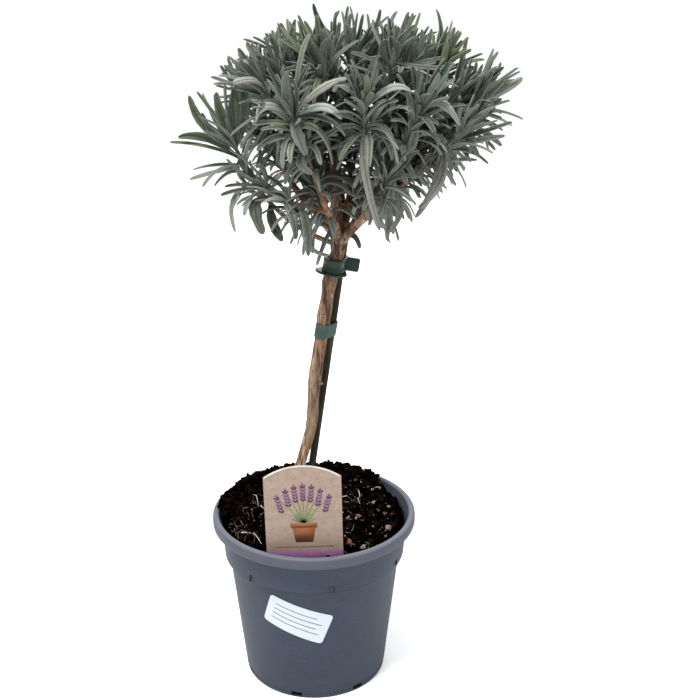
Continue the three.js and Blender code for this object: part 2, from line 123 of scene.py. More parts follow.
# %% Curved lines
class Bend:
    """A Bezier line through three or four control points."""

    def __init__(self, *points):
        self.points = points

    def at(self, t):
        row = list(self.points)
        while len(row) > 1:
            row = [a.lerp(b, t) for a, b in zip(row, row[1:])]
        return row[0]

    def along(self, t):
        row = list(self.points)
        while len(row) > 2:
            row = [a.lerp(b, t) for a, b in zip(row, row[1:])]
        return unit(row[1] - row[0])

    def length(self):
        dots = [self.at(i / 40) for i in range(41)]
        return sum((b - a).length for a, b in zip(dots, dots[1:]))


class Spline(Bend):
    """A smooth line through all its points, with no loops where they are unevenly spaced."""

    def at(self, t):
        dots = self.points
        span = t * (len(dots) - 1)
        i = min(int(span), len(dots) - 2)
        w = span - i
        b, c = dots[i], dots[i + 1]
        a = dots[i - 1] if i > 0 else b * 2 - c
        d = dots[i + 2] if i + 2 < len(dots) else c * 2 - b
        ab, bc, cd = (math.sqrt((q - p).length) for p, q in ((a, b), (b, c), (c, d)))
        t1 = ((b - a) / ab - (c - a) / (ab + bc) + (c - b) / bc) * bc
        t2 = ((c - b) / bc - (d - b) / (bc + cd) + (d - c) / cd) * bc
        return b + t1 * w + (b * -3 + c * 3 - t1 * 2 - t2) * w**2 + (b * 2 - c * 2 + t1 + t2) * w**3

    def along(self, t):
        low, high = max(0, t - 1e-3), min(1, t + 1e-3)
        return unit(self.at(high) - self.at(low))


def crossways(path):
    """A direction square to the whole of a gently bent line."""
    chord = unit(path.at(1) - path.at(0))
    helper = BACK if abs(chord.y) < 0.8 else vec(1, 0, 0)
    return unit(helper.cross(chord))


print("helpers for lines are ready")


# %% Meshes from rings
class Shape:
    """Gathers points and faces into one mesh, with numbers kept on each point for the finishes."""

    def __init__(self):
        self.points, self.faces, self.marks = [], [], {}

    def keep(self, start, marks):
        """Keeps numbers on the points from `start` on. A point that was given none has 0."""
        for name, values in marks.items():
            row = self.marks.setdefault(name, [])
            row.extend([0.0] * (start - len(row)))
            row.extend(values)

    def lump(self, points, faces, **marks):
        """Adds a lump. A mark is one number for all of it."""
        start = len(self.points)
        self.points.extend(points)
        self.faces.extend(tuple(start + i for i in face) for face in faces)
        self.keep(start, {name: [value] * len(points) for name, value in marks.items()})

    def ring_run(self, rings, **marks):
        """Joins rings of equal count into a closed skin. A mark is one number for all of it, or a
        list with a number for each ring, or with a list of numbers for each ring's points."""
        start, sides = len(self.points), len(rings[0])
        last = start + (len(rings) - 1) * sides
        for ring in rings:
            self.points.extend(ring)
        for low in range(start, last, sides):
            for s in range(sides):
                a, b = low + s, low + (s + 1) % sides
                self.faces.append((a, b, b + sides, a + sides))
        self.faces.append(tuple(range(start + sides - 1, start - 1, -1)))
        self.faces.append(tuple(range(last, last + sides)))
        for name, value in marks.items():
            rows = value if isinstance(value, list) else [value] * len(rings)
            rows = [row if isinstance(row, list) else [row] * sides for row in rows]
            marks[name] = [number for row in rows for number in row]
        self.keep(start, marks)

    def thing(self, name):
        """Makes the Blender object."""
        mesh = bpy.data.meshes.new(name)
        mesh.from_pydata([p * MM for p in self.points], [], self.faces)
        obj = bpy.data.objects.new(name, mesh)
        bpy.context.scene.collection.objects.link(obj)
        return obj

    def piece(self, name, finish, slot, instead_of=None, crease=None):
        """Makes a dressed piece, which may stand for a plain node. Edges that turn by more than
        `crease` degrees stay sharp."""
        obj = self.thing(name)
        self.keep(len(self.points), {mark: [] for mark in self.marks})
        for mark, values in self.marks.items():
            obj.data.attributes.new(mark, "FLOAT", "POINT").data.foreach_set("value", values)
        obj.data.shade_smooth()
        if crease:
            obj.data.set_sharp_from_angle(angle=math.radians(crease))
        obj.data.materials.append(finish)
        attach(obj, "root")
        if instead_of:
            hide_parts(instead_of)
        return obj


print("a shape gathers", sorted(vars(Shape())))


# %% Rings along a line
def evenly(low, high, spans):
    return [mix(low, high, i / spans) for i in range(spans + 1)]


def frame_at(path, t, side):
    """The middle, the way across and the way under the line at a station."""
    along = path.along(t)
    under = unit(side.cross(along))
    return path.at(t), along.cross(under), under


def round_rings(path, stations, sides, radius, side=BACK):
    """Rings for a tube. `radius` gives the size at a station and at a turn round the tube."""
    rings = []
    for t in stations:
        centre, across, under = frame_at(path, t, side)
        ring = []
        for s in range(sides):
            turn = FULL_TURN * s / sides
            reach = radius(t, turn)
            ring.append(centre + across * (reach * math.sin(turn)) + under * (reach * math.cos(turn)))
        rings.append(ring)
    return rings


print("stations in four spans:", evenly(0, 1, 4))

# %% [markdown]
# ## Shader maths
#
# A finish is a small sum: so much dust over the plastic, so much pale felt over the green. Writing it
# as nodes by hand is slow to read, so a wire from a node is wrapped in a class that adds, takes away
# and multiplies, and each operator adds its own Math node. Colours are never sent through a Math
# node, which would turn them grey: they go through a Mix node, one coat of colour over another.


# %% Wires
class Wire:
    """The output of a node, with Python's operators."""

    def __init__(self, finish, socket):
        self.finish, self.socket = finish, socket

    def maths(self, operation, first, second):
        return self.finish.node("Math", {"operation": operation}, {0: first, 1: second})

    def __add__(self, other):
        return self.maths("ADD", self, other)

    def __sub__(self, other):
        return self.maths("SUBTRACT", self, other)

    def __rsub__(self, other):
        return self.maths("SUBTRACT", other, self)

    def __mul__(self, other):
        return self.maths("MULTIPLY", self, other)

    __radd__, __rmul__ = __add__, __mul__

    def between(self, low, high):
        """Rises smoothly from 0 at low to 1 at high."""
        settings = {"interpolation_type": "SMOOTHSTEP"}
        return self.finish.node("MapRange", settings, {0: self, 1: low, 2: high, 3: 0, 4: 1})


print("a wire can be added to, taken away from and multiplied")


# %% Finishes
class Finish:
    """A material with its Principled shader. Anything the same all over is set on the shader."""

    def __init__(self, name, **sockets):
        self.material = bpy.data.materials.new(name)
        self.material.use_nodes = True
        self.tree = self.material.node_tree
        self.shader = self.tree.nodes["Principled BSDF"]
        self.set(**sockets)

    def set(self, **sockets):
        for name, value in sockets.items():
            self.feed(self.shader.inputs[name.replace("_", " ")], value)

    def feed(self, socket, value):
        if isinstance(value, Wire):
            self.tree.links.new(value.socket, socket)
        elif isinstance(value, tuple) and len(value) == 3 and socket.type == "RGBA":
            socket.default_value = (*value, 1)
        else:
            socket.default_value = value

    def node(self, kind, settings, sockets, out=0):
        """Any node, by its kind, its settings and what its sockets get."""
        node = self.tree.nodes.new("ShaderNode" + kind)
        for name, value in settings.items():
            setattr(node, name, value)
        for key, value in sockets.items():
            self.feed(node.inputs[key], value)
        return Wire(self, node.outputs[out])

    def mark(self, name):
        """A number that was kept on the mesh's points."""
        return self.node("Attribute", {"attribute_name": name}, {}, "Fac")

    def place(self):
        return self.node("TexCoord", {}, {}, "Object")

    def stretch(self, scale):
        return self.node("Mapping", {}, {"Vector": self.place(), "Scale": scale})

    def cloud(self, scale, detail=4, rough=0.6, where=None):
        sockets = {"Vector": where or self.place(), "Scale": scale, "Detail": detail}
        return self.node("TexNoise", {}, sockets | {"Roughness": rough}, "Fac")

    def specks(self, scale, low, high):
        """Small round specks: 1 at the middle of each and 0 between them."""
        cells = self.node("TexVoronoi", {}, {"Vector": self.place(), "Scale": scale}, "Distance")
        return 1 - cells.between(low, high)

    def blend(self, share, low, high):
        """One colour over another by a share."""
        return self.node("Mix", {"data_type": "RGBA"}, {0: share, 6: low, 7: high}, 2)

    def coats(self, colour, *coats):
        """A colour with more coats over it, each a share and a colour."""
        for share, coat in coats:
            colour = self.blend(share, colour, coat)
        return colour

    def bump(self, height, depth, strength=1.0):
        """Raised detail: `height` from 0 to 1 stands for `depth` millimetres."""
        sockets = {"Height": height, "Distance": depth * MM, "Strength": strength}
        self.set(Normal=self.node("Bump", {}, sockets))


print("a finish can have clouds, specks, coats of colour and bumps")

# %% [markdown]
# ## Light and floor
#
# The photograph has bright, soft light from above and a plain white ground. One wide lamp above the
# viewer's left gives shape, a weaker one on the right keeps the shade open, and the white sky fills
# the rest. A single small lamp would be simpler, but it would cut hard shadows among the leaves.

# %% Studio
scene = bpy.context.scene
scene.view_settings.view_transform = "Standard"
world = bpy.data.worlds.new("sky")
world.use_nodes = True
sky = world.node_tree.nodes["Background"]
sky.inputs["Color"].default_value = (0.98, 0.99, 1.0, 1)
sky.inputs["Strength"].default_value = 1.08
scene.world = world


def lamp(name, place, size, power, aim=vec(0, 0, 300)):
    """A round lamp. Its place, its size and what it is aimed at are in millimetres."""
    data = bpy.data.lights.new(name, "AREA")
    data.shape, data.size, data.energy = "DISK", size * MM, power
    obj = bpy.data.objects.new(name, data)
    obj.location = place * MM
    obj.rotation_euler = (aim - place).to_track_quat("-Z", "Y").to_euler()
    scene.collection.objects.link(obj)


lamp("key", vec(-350, -500, 1500), 500, 36)
lamp("fill", vec(900, -700, 700), 900, 3)
lamp("rim", vec(200, 1100, 900), 900, 7)

# %% Floor
LEFT, RIGHT, NEAR, FAR = -30_000, 30_000, -10_000, 50_000

ground, ground_corners = Shape(), ((LEFT, NEAR), (RIGHT, NEAR), (RIGHT, FAR), (LEFT, FAR))
ground.lump([vec(x, y, 0) for x, y in ground_corners], [range(4)])
floor = ground.thing("floor")
pale = Finish("floor", Roughness=0.9)
pale.set(Base_Color=pale.blend(pale.cloud(3) * 0.02, (0.95, 0.95, 0.95), (0.9, 0.9, 0.9)))
floor.data.materials.append(pale.material)
print("the floor is", (RIGHT - LEFT) * MM, "m wide")

# %% [markdown]
# ## The pot
#
# A nursery pot is blown or moulded in one thin skin: a rolled lip, a plain collar that sits in the
# next pot when they are stacked, a step, and a tapering wall. It is turned like clay on a wheel from
# one outline. The notches in the collar's lower edge and the drain slots at the foot break the round
# shape, so they are cut out afterwards with a Boolean modifier. The slots start a little above the
# floor inside, so what shows through them is the dark of the pot.

# %% Pot sizes
POT = dict(height=121, lip=70, lip_inner=65.4, lip_drop=8, collar_top=64.3, collar_foot=62.2)
POT.update(step=91, body_top=59.4, base=49.4, wall=1.5, floor=2, sides=168, crease=32)
NOTCH = dict(count=7, first=11, width=6, top_width=4.4, height=5.5, depth=0.9)
DRAIN = dict(count=7, first=-14.7, width=8, top_width=7.4, sill=1.3, height=4.5, inner=38, outer=55)


def round_pot(degrees, radius, z=0):
    """A point at an angle round the pot, from the front towards the right."""
    c, s = spin(degrees)
    return vec(radius * s, -radius * c, z)


def wall_radius(z):
    """The radius of the tapering wall at a height."""
    return mix(POT["base"], POT["body_top"], z / POT["step"])


print("the wall leans by", round(wall_radius(POT["step"]) - wall_radius(0), 1), "mm")


# %% Pot outline
def arc(centre, radius, first, last, count):
    """Points on part of a circle, angles in degrees."""
    turns = [spin(degrees) for degrees in evenly(first, last, count - 1)]
    return [(centre[0] + radius * c, centre[1] + radius * s) for c, s in turns]


def pot_outline():
    """From the middle of the underside up the outside, over the lip and down the inside."""
    top, lip, inner, step = POT["height"], POT["lip"], POT["lip_inner"], POT["step"]
    under, base, body = top - POT["lip_drop"], POT["base"], POT["body_top"]
    foot = [(x, 0) for x in (0, 20, 40, base - 3, base - 1)] + arc((base - 1, 1), 1, -90, -5, 4)
    foot += [(base + 0.3, 2.9), (base + 0.1, 3.3), (base + 0.15, 3.7), (base + 0.5, 4.1)]
    wall = [(wall_radius(z), z) for z in (12, 25, 40, 55, 70, 82, 88.5)]
    ledge = [(body + 0.1, step - 1), (body + 0.5, step - 0.35)]
    ledge += arc((62, step + 0.2), 0.45, -90, 0, 4)
    shares = (0.15, 0.4, 0.65, 0.88, 1)
    collar = [(mix(62.45, 64.2, t), mix(step + 1, under - 2.4, t)) for t in shares]
    rim = [(64.6, under - 1), (65.5, under - 0.25)]
    rim += arc((lip - 1.7, under + 1.7), 1.7, -90, 0, 5) + arc((lip - 2.2, top - 2.2), 2.2, 0, 90, 7)
    rim += arc((inner + 1.6, top - 1.6), 1.6, 90, 180, 6)
    inside = [(inner - 0.3, under + 2), (62.9, under - 1.5), (60.8, step + 2), (58.2, step - 2)]
    inside += [(wall_radius(z) - POT["wall"], z) for z in (60, 30, 4)]
    inside += [(x, POT["floor"]) for x in (40, 20, 0)]
    return foot + wall + ledge + collar + rim + inside


print("the pot's outline has", len(pot_outline()), "points")


# %% Pot mesh
def pot_shape():
    """The outline turned round the Z axis. Its two ends lie on the axis."""
    shape, turns = Shape(), [360 * s / POT["sides"] for s in range(POT["sides"])]
    shape.ring_run([[round_pot(turn, x, z) for turn in turns] for x, z in pot_outline()[1:-1]])
    return shape


def add_blocks(shape, cut, low, high, near, far):
    """Adds blocks to cut away, set evenly round the pot, each narrower at its top."""
    half, top = cut["width"] / 2, cut["top_width"] / 2
    for i in range(cut["count"]):
        degrees = cut["first"] + 360 * i / cut["count"]
        out, right = round_pot(degrees, 1), round_pot(degrees + 90, 1)
        corners = [right * x + UP * z for x, z in ((-half, low), (half, low), (top, high), (-top, high))]
        shape.ring_run([[out * reach + corner for corner in corners] for reach in (near, far)])


def cut_away(obj, shape):
    """Cuts a shape out of a piece and keeps the result as its own mesh."""
    knife = shape.thing("knife")
    modifier = obj.modifiers.new("cut", "BOOLEAN")
    modifier.operation, modifier.solver, modifier.object = "DIFFERENCE", "EXACT", knife
    seen = obj.evaluated_get(bpy.context.evaluated_depsgraph_get())
    obj.data = bpy.data.meshes.new_from_object(seen)
    obj.modifiers.clear()
    bpy.data.objects.remove(knife)
    obj.data.shade_smooth()
    obj.data.set_sharp_from_angle(angle=math.radians(POT["crease"]))


print("corners in the pot before it is cut:", len(pot_shape().points))

# %% [markdown]
# The pot's plastic is a mid grey with a little blue in it, satin rather than glossy. Handling has left
# pale scuffs and dust, the lip is paler with a painted highlight along its top, the ledge under the
# collar has painted shade, and there are a few dark specks in the plastic. The scuffs come from
# stretched noise, so they run round the pot.


# %% Pot finish
def pot_plastic():
    finish = Finish("pot_plastic", Specular_IOR_Level=0.15)
    height = finish.node("SeparateXYZ", {}, {0: finish.place()}, "Z") * (1 / MM)
    mottle = finish.cloud(38, 5, 0.62)
    streaks = finish.cloud(150, 4, 0.65, finish.stretch((1, 1, 5)))
    scuffs = finish.cloud(90, 6, 0.7, finish.stretch((1.2, 1.2, 3.2))).between(0.6, 0.74)
    specks = finish.specks(260, 0.05, 0.11) * finish.cloud(60, 1).between(0.56, 0.6)
    # the ledge's mask, for a band of painted shade under the collar
    ledge = height.between(90, 90.8) * (1 - height.between(91.2, 92.2))
    grey = finish.coats(
        finish.blend(mottle.between(0.3, 0.7), (0.022, 0.029, 0.044), (0.029, 0.037, 0.055)),
        ((1 - height.between(10, 95)) * 0.34, (0.016, 0.020, 0.030)),
        (height.between(112.5, 114.5) * 0.7, (0.064, 0.064, 0.083)),
        # painted highlight along the top of the rim
        (height.between(119.6, 120.7) * 0.5, (0.12, 0.125, 0.145)),
        (streaks.between(0.52, 0.75) * 0.16, (0.07, 0.078, 0.096)),
        (scuffs * 0.16, (0.11, 0.115, 0.125)),
        # painted shade on the ledge under the collar
        (ledge * 0.6, (0.008, 0.01, 0.014)),
        (specks * 0.75, (0.008, 0.009, 0.012)),
    )
    finish.set(Base_Color=grey, Roughness=0.46 + 0.22 * mottle + 0.12 * scuffs)
    finish.bump(0.5 * mottle + 0.5 * streaks - specks, 0.25, 0.5)
    return finish.material


pot = pot_shape().piece("pot_shell", pot_plastic(), "pot_plastic", "pot")
knife_shape, step = Shape(), POT["step"]
near, far = POT["collar_foot"] - NOTCH["depth"], POT["collar_foot"] + 5
add_blocks(knife_shape, NOTCH, step - 2.5, step + NOTCH["height"], near, far)
add_blocks(knife_shape, DRAIN, DRAIN["sill"], DRAIN["height"], DRAIN["inner"], DRAIN["outer"])
cut_away(pot, knife_shape)
print("pot faces:", len(pot.data.polygons))

# %% [markdown]
# ## The soil
#
# Potting soil is nearly black peat: a lumpy bed, crumbs of every size on top, pale root fibres, and
# chips of bark and wood. A bump map alone looks flat at this distance, so the bed is a fine mesh that
# is raised by noise, and crumbs, fibres and chips are real little shapes strewn over it. At the back
# left the crumbs are heaped in a bank against the rim and over it.

# %% Soil bed
SOIL = dict(edge=61.9, level=115, tilt=5.5, crumb=1.5, sides=200, rings=90)
SOIL_FOOT = [(1, 2.4), (47.5, 2.4), (57.5, 90), (60.3, 92)]


def soil_waves(x, y):
    """The broad lumps of the bed, the same as on the plain model."""
    lumps = math.sin(x * 0.31 + 1.7) * math.cos(y * 0.27 - 0.6)
    lumps += 0.7 * math.sin(x * 0.57 - y * 0.43 + 2.1) + 0.6 * math.cos(x * 0.83 + y * 0.71)
    return SOIL["level"] + SOIL["tilt"] * y / POT["collar_top"] + SOIL["crumb"] * lumps


def soil_top(x, y):
    """The bed's height: broad lumps, two grains of noise, and a low heap at the back right."""
    spot = vec(x, y, 0)
    grain = noise.fractal(spot * 0.16, 0.7, 2.1, 3) * 1.3 + noise.fractal(spot * 0.55, 0.8, 2.0, 4) * 0.8
    heap = 2.2 * math.exp(-((x - 26) ** 2 + (y - 48) ** 2) / 260)
    return soil_waves(x, y) + grain + heap


def soil_bed():
    shape, turns = Shape(), [360 * s / SOIL["sides"] for s in range(SOIL["sides"])]
    rings = [[round_pot(turn, radius, z) for turn in turns] for radius, z in SOIL_FOOT]
    for i in range(SOIL["rings"]):
        dots = [round_pot(turn, SOIL["edge"] * (1 - i / SOIL["rings"])) for turn in turns]
        rings.append([vec(dot.x, dot.y, soil_top(dot.x, dot.y)) for dot in dots])
    shape.ring_run(rings)
    return shape


print("soil at the middle:", round(soil_top(0, 0), 1), "mm")

# %% [markdown]
# The peat's colour goes from black to a warm dark brown, by crumb and by cluster of crumbs. Each
# strewn shape keeps a tone number on its points, so one finish colours them all.


# %% Soil finishes
def peat():
    finish = Finish("peat", Roughness=1.0, Specular_IOR_Level=0.0)
    cloud, grain = finish.cloud(160, 6, 0.7), finish.cloud(700, 4, 0.7)
    damp = (finish.mark("tone") + cloud - 0.3).between(0.25, 1.2)
    brown = finish.coats(
        finish.blend(damp, (0.0005, 0.0003, 0.0003), (0.006, 0.0031, 0.0022)),
        (grain.between(0.62, 0.75) * 0.5, (0.01, 0.0055, 0.004)),
    )
    finish.set(Base_Color=brown)
    finish.bump(0.5 * cloud + 0.5 * grain, 0.9)
    return finish.material


def litter():
    """Chips and fibres, from brown bark to bleached wood."""
    finish = Finish("litter", Roughness=0.85)
    tone, grain = finish.mark("tone"), finish.cloud(420, 4, 0.65, finish.stretch((1, 1, 0.4)))
    wood = finish.coats(
        finish.blend(tone.between(0, 0.5), (0.022, 0.012, 0.007), (0.1, 0.06, 0.036)),
        (tone.between(0.5, 1), (0.22, 0.18, 0.135)),
        (tone.between(1, 1.4), (0.5, 0.46, 0.4)),
        (finish.mark("rust"), (0.2, 0.07, 0.016)),
        (grain.between(0.45, 0.75) * 0.5, (0.02, 0.013, 0.008)),
    )
    finish.set(Base_Color=wood)
    finish.bump(grain, 0.5)
    return finish.material


peat_finish, litter_finish = peat(), litter()
bed = soil_bed().piece("soil_bed", peat_finish, "soil", "soil")
print("faces in the bed:", len(bed.data.polygons))

# %% Strewing
STANDING = [(-16, 2, 9), (-7, 7, 5)]  # the trunk and the stake: x, y and how far round them is clear
LABEL_STRIP = dict(left=-33, right=23, front=-54.5, back=-48.5)
BIG_PEBBLE = 1.1
rng = np.random.default_rng(11)


def add_pebble(shape, spot, size, flat, tone, **marks):
    """Adds a rough lump: a ball with each corner pushed in or out. `tone` is drawn last."""
    ball = bmesh.new()
    bmesh.ops.create_icosphere(ball, subdivisions=2 if size > BIG_PEBBLE else 1, radius=1)
    shift = Vector(rng.uniform(-50, 50, 3))
    turn = Quaternion(Vector(rng.normal(size=3)).normalized(), rng.uniform(0, 6.28))
    stretch = Vector((1, rng.uniform(0.55, 1), flat * rng.uniform(0.7, 1.1)))
    points = []
    for v in ball.verts:
        reach = 1 + 0.55 * noise.noise(v.co * 1.3 + shift) + 0.25 * noise.noise(v.co * 3.5 + shift)
        points.append(turn @ (v.co * reach * size * stretch) + spot)
    shape.lump(points, [[v.index for v in f.verts] for f in ball.faces], tone=tone(), **marks)
    ball.free()


def strewn_spot(margin):
    """A place on the soil that is clear of the trunk, the stake and the label."""
    strip = LABEL_STRIP
    while True:
        radius, degrees = (SOIL["edge"] - margin) * math.sqrt(rng.random()), rng.uniform(0, 360)
        spot = round_pot(degrees, radius)
        clear = all((spot.x - x) ** 2 + (spot.y - y) ** 2 >= reach**2 for x, y, reach in STANDING)
        if strip["left"] < spot.x < strip["right"] and strip["front"] < spot.y < strip["back"]:
            clear = False
        if clear:
            return spot


print("pebbles over", BIG_PEBBLE, "mm are made from a finer ball")


# %% Crumbs
BANK = dict(height=7.5, radius=59, spread=6.5, inner=46, reach=67.5, first=150, last=262, fade=28)


def bank(x, y):
    """How high the crumbs are heaped at a place."""
    degrees = math.degrees(math.atan2(x, -y)) % 360
    ends = smooth(BANK["first"] - BANK["fade"], BANK["first"], degrees)
    ends *= 1 - smooth(BANK["last"], BANK["last"] + BANK["fade"], degrees)
    lumps = 0.8 + 0.5 * noise.noise(vec(x, y, 0) * 0.13)
    aside = (math.hypot(x, y) - BANK["radius"]) / BANK["spread"]
    return BANK["height"] * lumps * ends * math.exp(-(aside**2))


def crumbs(count):
    shape = Shape()
    for _ in range(count):
        size = 0.5 + 2.1 * rng.random() ** 3
        spot = strewn_spot(2 + size)
        spot.z = soil_top(spot.x, spot.y) + size * 0.25
        add_pebble(shape, spot, size, 0.75, rng.random)
    return shape


def banked_crumbs(count):
    """Crumbs in layers that rise to the bank's height. Past the bed's edge they lie on the lip."""
    shape, brim = Shape(), POT["height"]
    for _ in range(count):
        size = 0.6 + 1.7 * rng.random() ** 2.4
        degrees = rng.uniform(BANK["first"] - BANK["fade"], BANK["last"] + BANK["fade"])
        radius = rng.uniform(BANK["inner"], BANK["reach"] - size)
        spot = round_pot(degrees, radius)
        high = bank(spot.x, spot.y)
        if radius < SOIL["edge"] - 1.6 * size:
            level = soil_top(spot.x, spot.y) + 0.25 * size
            high = max(high, mix(0, brim + 2 - level, smooth(50, 60, radius)) * bool(high > 1))
        else:
            level = max(brim + 1.3 * size, soil_top(spot.x, spot.y))
            high *= 0.5
        if high < 0.6:
            continue
        spot.z = level + high * rng.random()
        add_pebble(shape, spot, size, 0.75, rng.random)
    return shape


crumbs(2600).piece("soil_crumbs", peat_finish, "soil")
banked_crumbs(3000).piece("soil_bank", peat_finish, "soil")
print("crumbs strewn and heaped up, the bank at most", BANK["height"], "mm high")


# %% Chips and fibres
def chips(count, flecks):
    """Flat bits of bark and wood, many more that are only flecks, and one big rusty chip."""
    shape = Shape()
    for i in range(count + flecks):
        spot = strewn_spot(6)
        if rng.random() < 0.45:
            spot.x = abs(spot.x)
        size = rng.uniform(0.9, 2.6) if i < count else rng.uniform(0.35, 0.8)
        spot.z = soil_top(spot.x, spot.y) + (0.9 if i < count else 1.2)
        flat, tone = rng.uniform(0.25, 0.5), lambda: 0.25 + 0.75 * rng.random()
        add_pebble(shape, spot, size, flat, tone, rust=0.0)
    spot = vec(24, -38, soil_top(24, -38) + 1.6)
    add_pebble(shape, spot, 3.1, 0.5, lambda: 0.4, rust=0.85)
    return shape


def fibres(count):
    """Root fibres that wander over the soil, some of them bleached. A third lie in one tangle."""
    shape = Shape()
    for i in range(count):
        start = strewn_spot(9) if i % 3 else vec(-50, -16, 0) + Vector((*rng.normal(0, 6, 2), 0))
        heading = rng.uniform(0, 6.28)
        dots, pale = [], i % 16 == 0 or i % 12 == 7
        reach = rng.uniform(3, 5.5) if pale else rng.uniform(2, 5)
        for _ in range(5):
            if math.hypot(start.x, start.y) > 59:
                start = start * 0.95
            lift = rng.uniform(0.6, 2.4)
            dots.append(vec(start.x, start.y, soil_top(start.x, start.y) + lift))
            heading += rng.uniform(-0.9, 0.9)
            start = start + vec(math.cos(heading), math.sin(heading), 0) * reach
        thick = rng.uniform(0.24, 0.34) if pale else rng.uniform(0.14, 0.28)
        path, radius = Spline(*dots), lambda t, turn: thick * (1.05 - 0.6 * t)
        rings = round_rings(path, evenly(0, 1, 16), 6, radius, crossways(path))
        shape.ring_run(rings, tone=1.4 if pale else 0.2 + 0.6 * (i * 7 % 10) / 10)
    return shape


chips(70, 260).piece("soil_chips", litter_finish, "soil")
fibres(70).piece("soil_fibres", litter_finish, "soil")
print("chips, flecks and fibres strewn")

# %% [markdown]
# ## The trunk and its limbs
#
# The stem has turned to wood: it leans, it is ridged lengthwise, and it has knots where leaves and
# shoots were. The tube follows the plain model's line with far more rings, and each ring is pushed
# in and out by noise that is stretched along the stem, which is how bark splits as a stem thickens.

# %% Trunk sizes
TRUNK_DOTS = [(-19, 0, 62), (-16, 0, 112), (-9, 0, 154), (-1, 0, 185), (1, 0, 212), (5, 0, 240)]
TRUNK_DOTS += [(9, 0, 268), (13, -0.5, 291), (18.5, -1.5, 310)]
TRUNK_LINE = Spline(*[vec(*dot) for dot in TRUNK_DOTS])
FOOT_RADIUS, FORK_RADIUS = 3.7, 5
FORK = vec(*TRUNK_DOTS[-1])
LIMB_ENDS = [((-4, 3, 38), 2.7), ((31, -4, 34), 2.9), ((10, 30, 32), 2.3)]
LIMB_ENDS += [((-26, 12, 30), 2.2), ((-8, -27, 29), 2.2), ((25, -26, 31), 2.1)]


class Limb:
    """One of the six limbs. It counts the twigs that have grown from it."""

    def __init__(self, end, radius):
        x, y, z = end
        self.tip, self.radius, self.twigs = FORK + vec(x, y, z), radius, 0
        self.path = Bend(FORK, FORK + vec(x * 0.35, y * 0.35, z * 0.55), self.tip)


limbs = [Limb(end, radius) for end, radius in LIMB_ENDS]
print("the trunk forks at", [round(v, 1) for v in FORK])


# %% Bark on a tube
def bark(spot, turn, depth):
    """How far the bark stands out at a spot: long ridges, broken by finer grain."""
    c, s = math.cos(turn), math.sin(turn)
    ridge = noise.noise(vec(c * 2.4, s * 2.4, spot.z * 0.028))
    grain = noise.noise(vec(c * 6, s * 6, spot.z * 0.13))
    return depth * (1.1 * ridge - 0.7 * abs(grain) + 0.2)


def woody_tube(shape, path, stations, sides, radius, side, depth, age):
    """A barky tube with a rounded end. `age` gives how woody it is at a station."""
    barky = lambda t, turn: radius(t, turn) + bark(path.at(t), turn, depth)
    rings, end = round_rings(path, stations, sides, barky, side), stations[-1]
    heading, centre, reach, last = path.along(end), path.at(end), radius(end, 0), rings[-1]
    for share in (0.35, 0.7, 0.95):
        c, s = math.cos(share * math.pi / 2), math.sin(share * math.pi / 2)
        rings.append([centre + heading * (reach * s) + (p - centre) * c for p in last])
    shape.ring_run(rings, age=[age(t) for t in [*stations, end, end, end]])


print("bark half way up stands out by", round(bark(TRUNK_LINE.at(0.5), 0, 1), 2), "mm at the front")

# %% [markdown]
# Bark is grey-brown where it is weathered and warm brown in the furrows, and it turns reddish and
# then green towards the young wood. The age kept on the points blends between those, and noise that
# is stretched lengthwise draws the fibres and the cracks between them.


# %% Wood finish
def bark_finish():
    finish = Finish("bark", Specular_IOR_Level=0.25)
    age = finish.mark("age")
    fibre = finish.cloud(230, 6, 0.72, finish.stretch((1, 1, 0.09)))
    crack = finish.cloud(520, 3, 0.6, finish.stretch((1, 1, 0.06)))
    patch = finish.cloud(70, 4, 0.6, finish.stretch((1, 1, 0.35)))
    fine = fibre.between(0.35, 0.65)
    old = finish.coats(
        finish.blend(patch.between(0.3, 0.7), (0.082, 0.046, 0.027), (0.245, 0.174, 0.116)),
        (finish.cloud(35, 3).between(0.46, 0.6) * 0.6, (0.185, 0.085, 0.044)),
        ((1 - fibre.between(0.4, 0.5)) * 0.9, (0.024, 0.013, 0.008)),
        ((1 - crack.between(0.42, 0.47)) * 0.85, (0.03, 0.016, 0.01)),
        (fibre.between(0.54, 0.62) * 0.8, (0.37, 0.285, 0.208)),
    )
    young = finish.blend(fine, (0.06, 0.026, 0.013), (0.19, 0.098, 0.05))
    green = finish.blend(fine, (0.04, 0.046, 0.024), (0.08, 0.09, 0.05))
    colour = finish.coats(young, (age.between(0.45, 0.9), old), (1 - age.between(0.02, 0.4), green))
    finish.set(Base_Color=colour, Roughness=0.78 + 0.15 * fibre)
    finish.bump(0.6 * fibre + 0.4 * crack, 1.1)
    return finish.material


wood_finish = bark_finish()
print("bark is ready for the trunk, the limbs and the twigs")

# %% [markdown]
# ## The leafy shoots
#
# Each shoot grows from a limb, bare at first, then with pairs of narrow leaves, each pair a quarter
# turn from the last. Old leaves at the foot bow outwards and droop, and young ones at the tip stand
# up in a tuft. The plain model placed every leaf by rule, and bent some clear of their neighbours.
# The same rule is run here. Of the ways that a leaf may be bent, the right one is the one whose tip
# is a corner of the plain model's shoot, so both keep the same form.

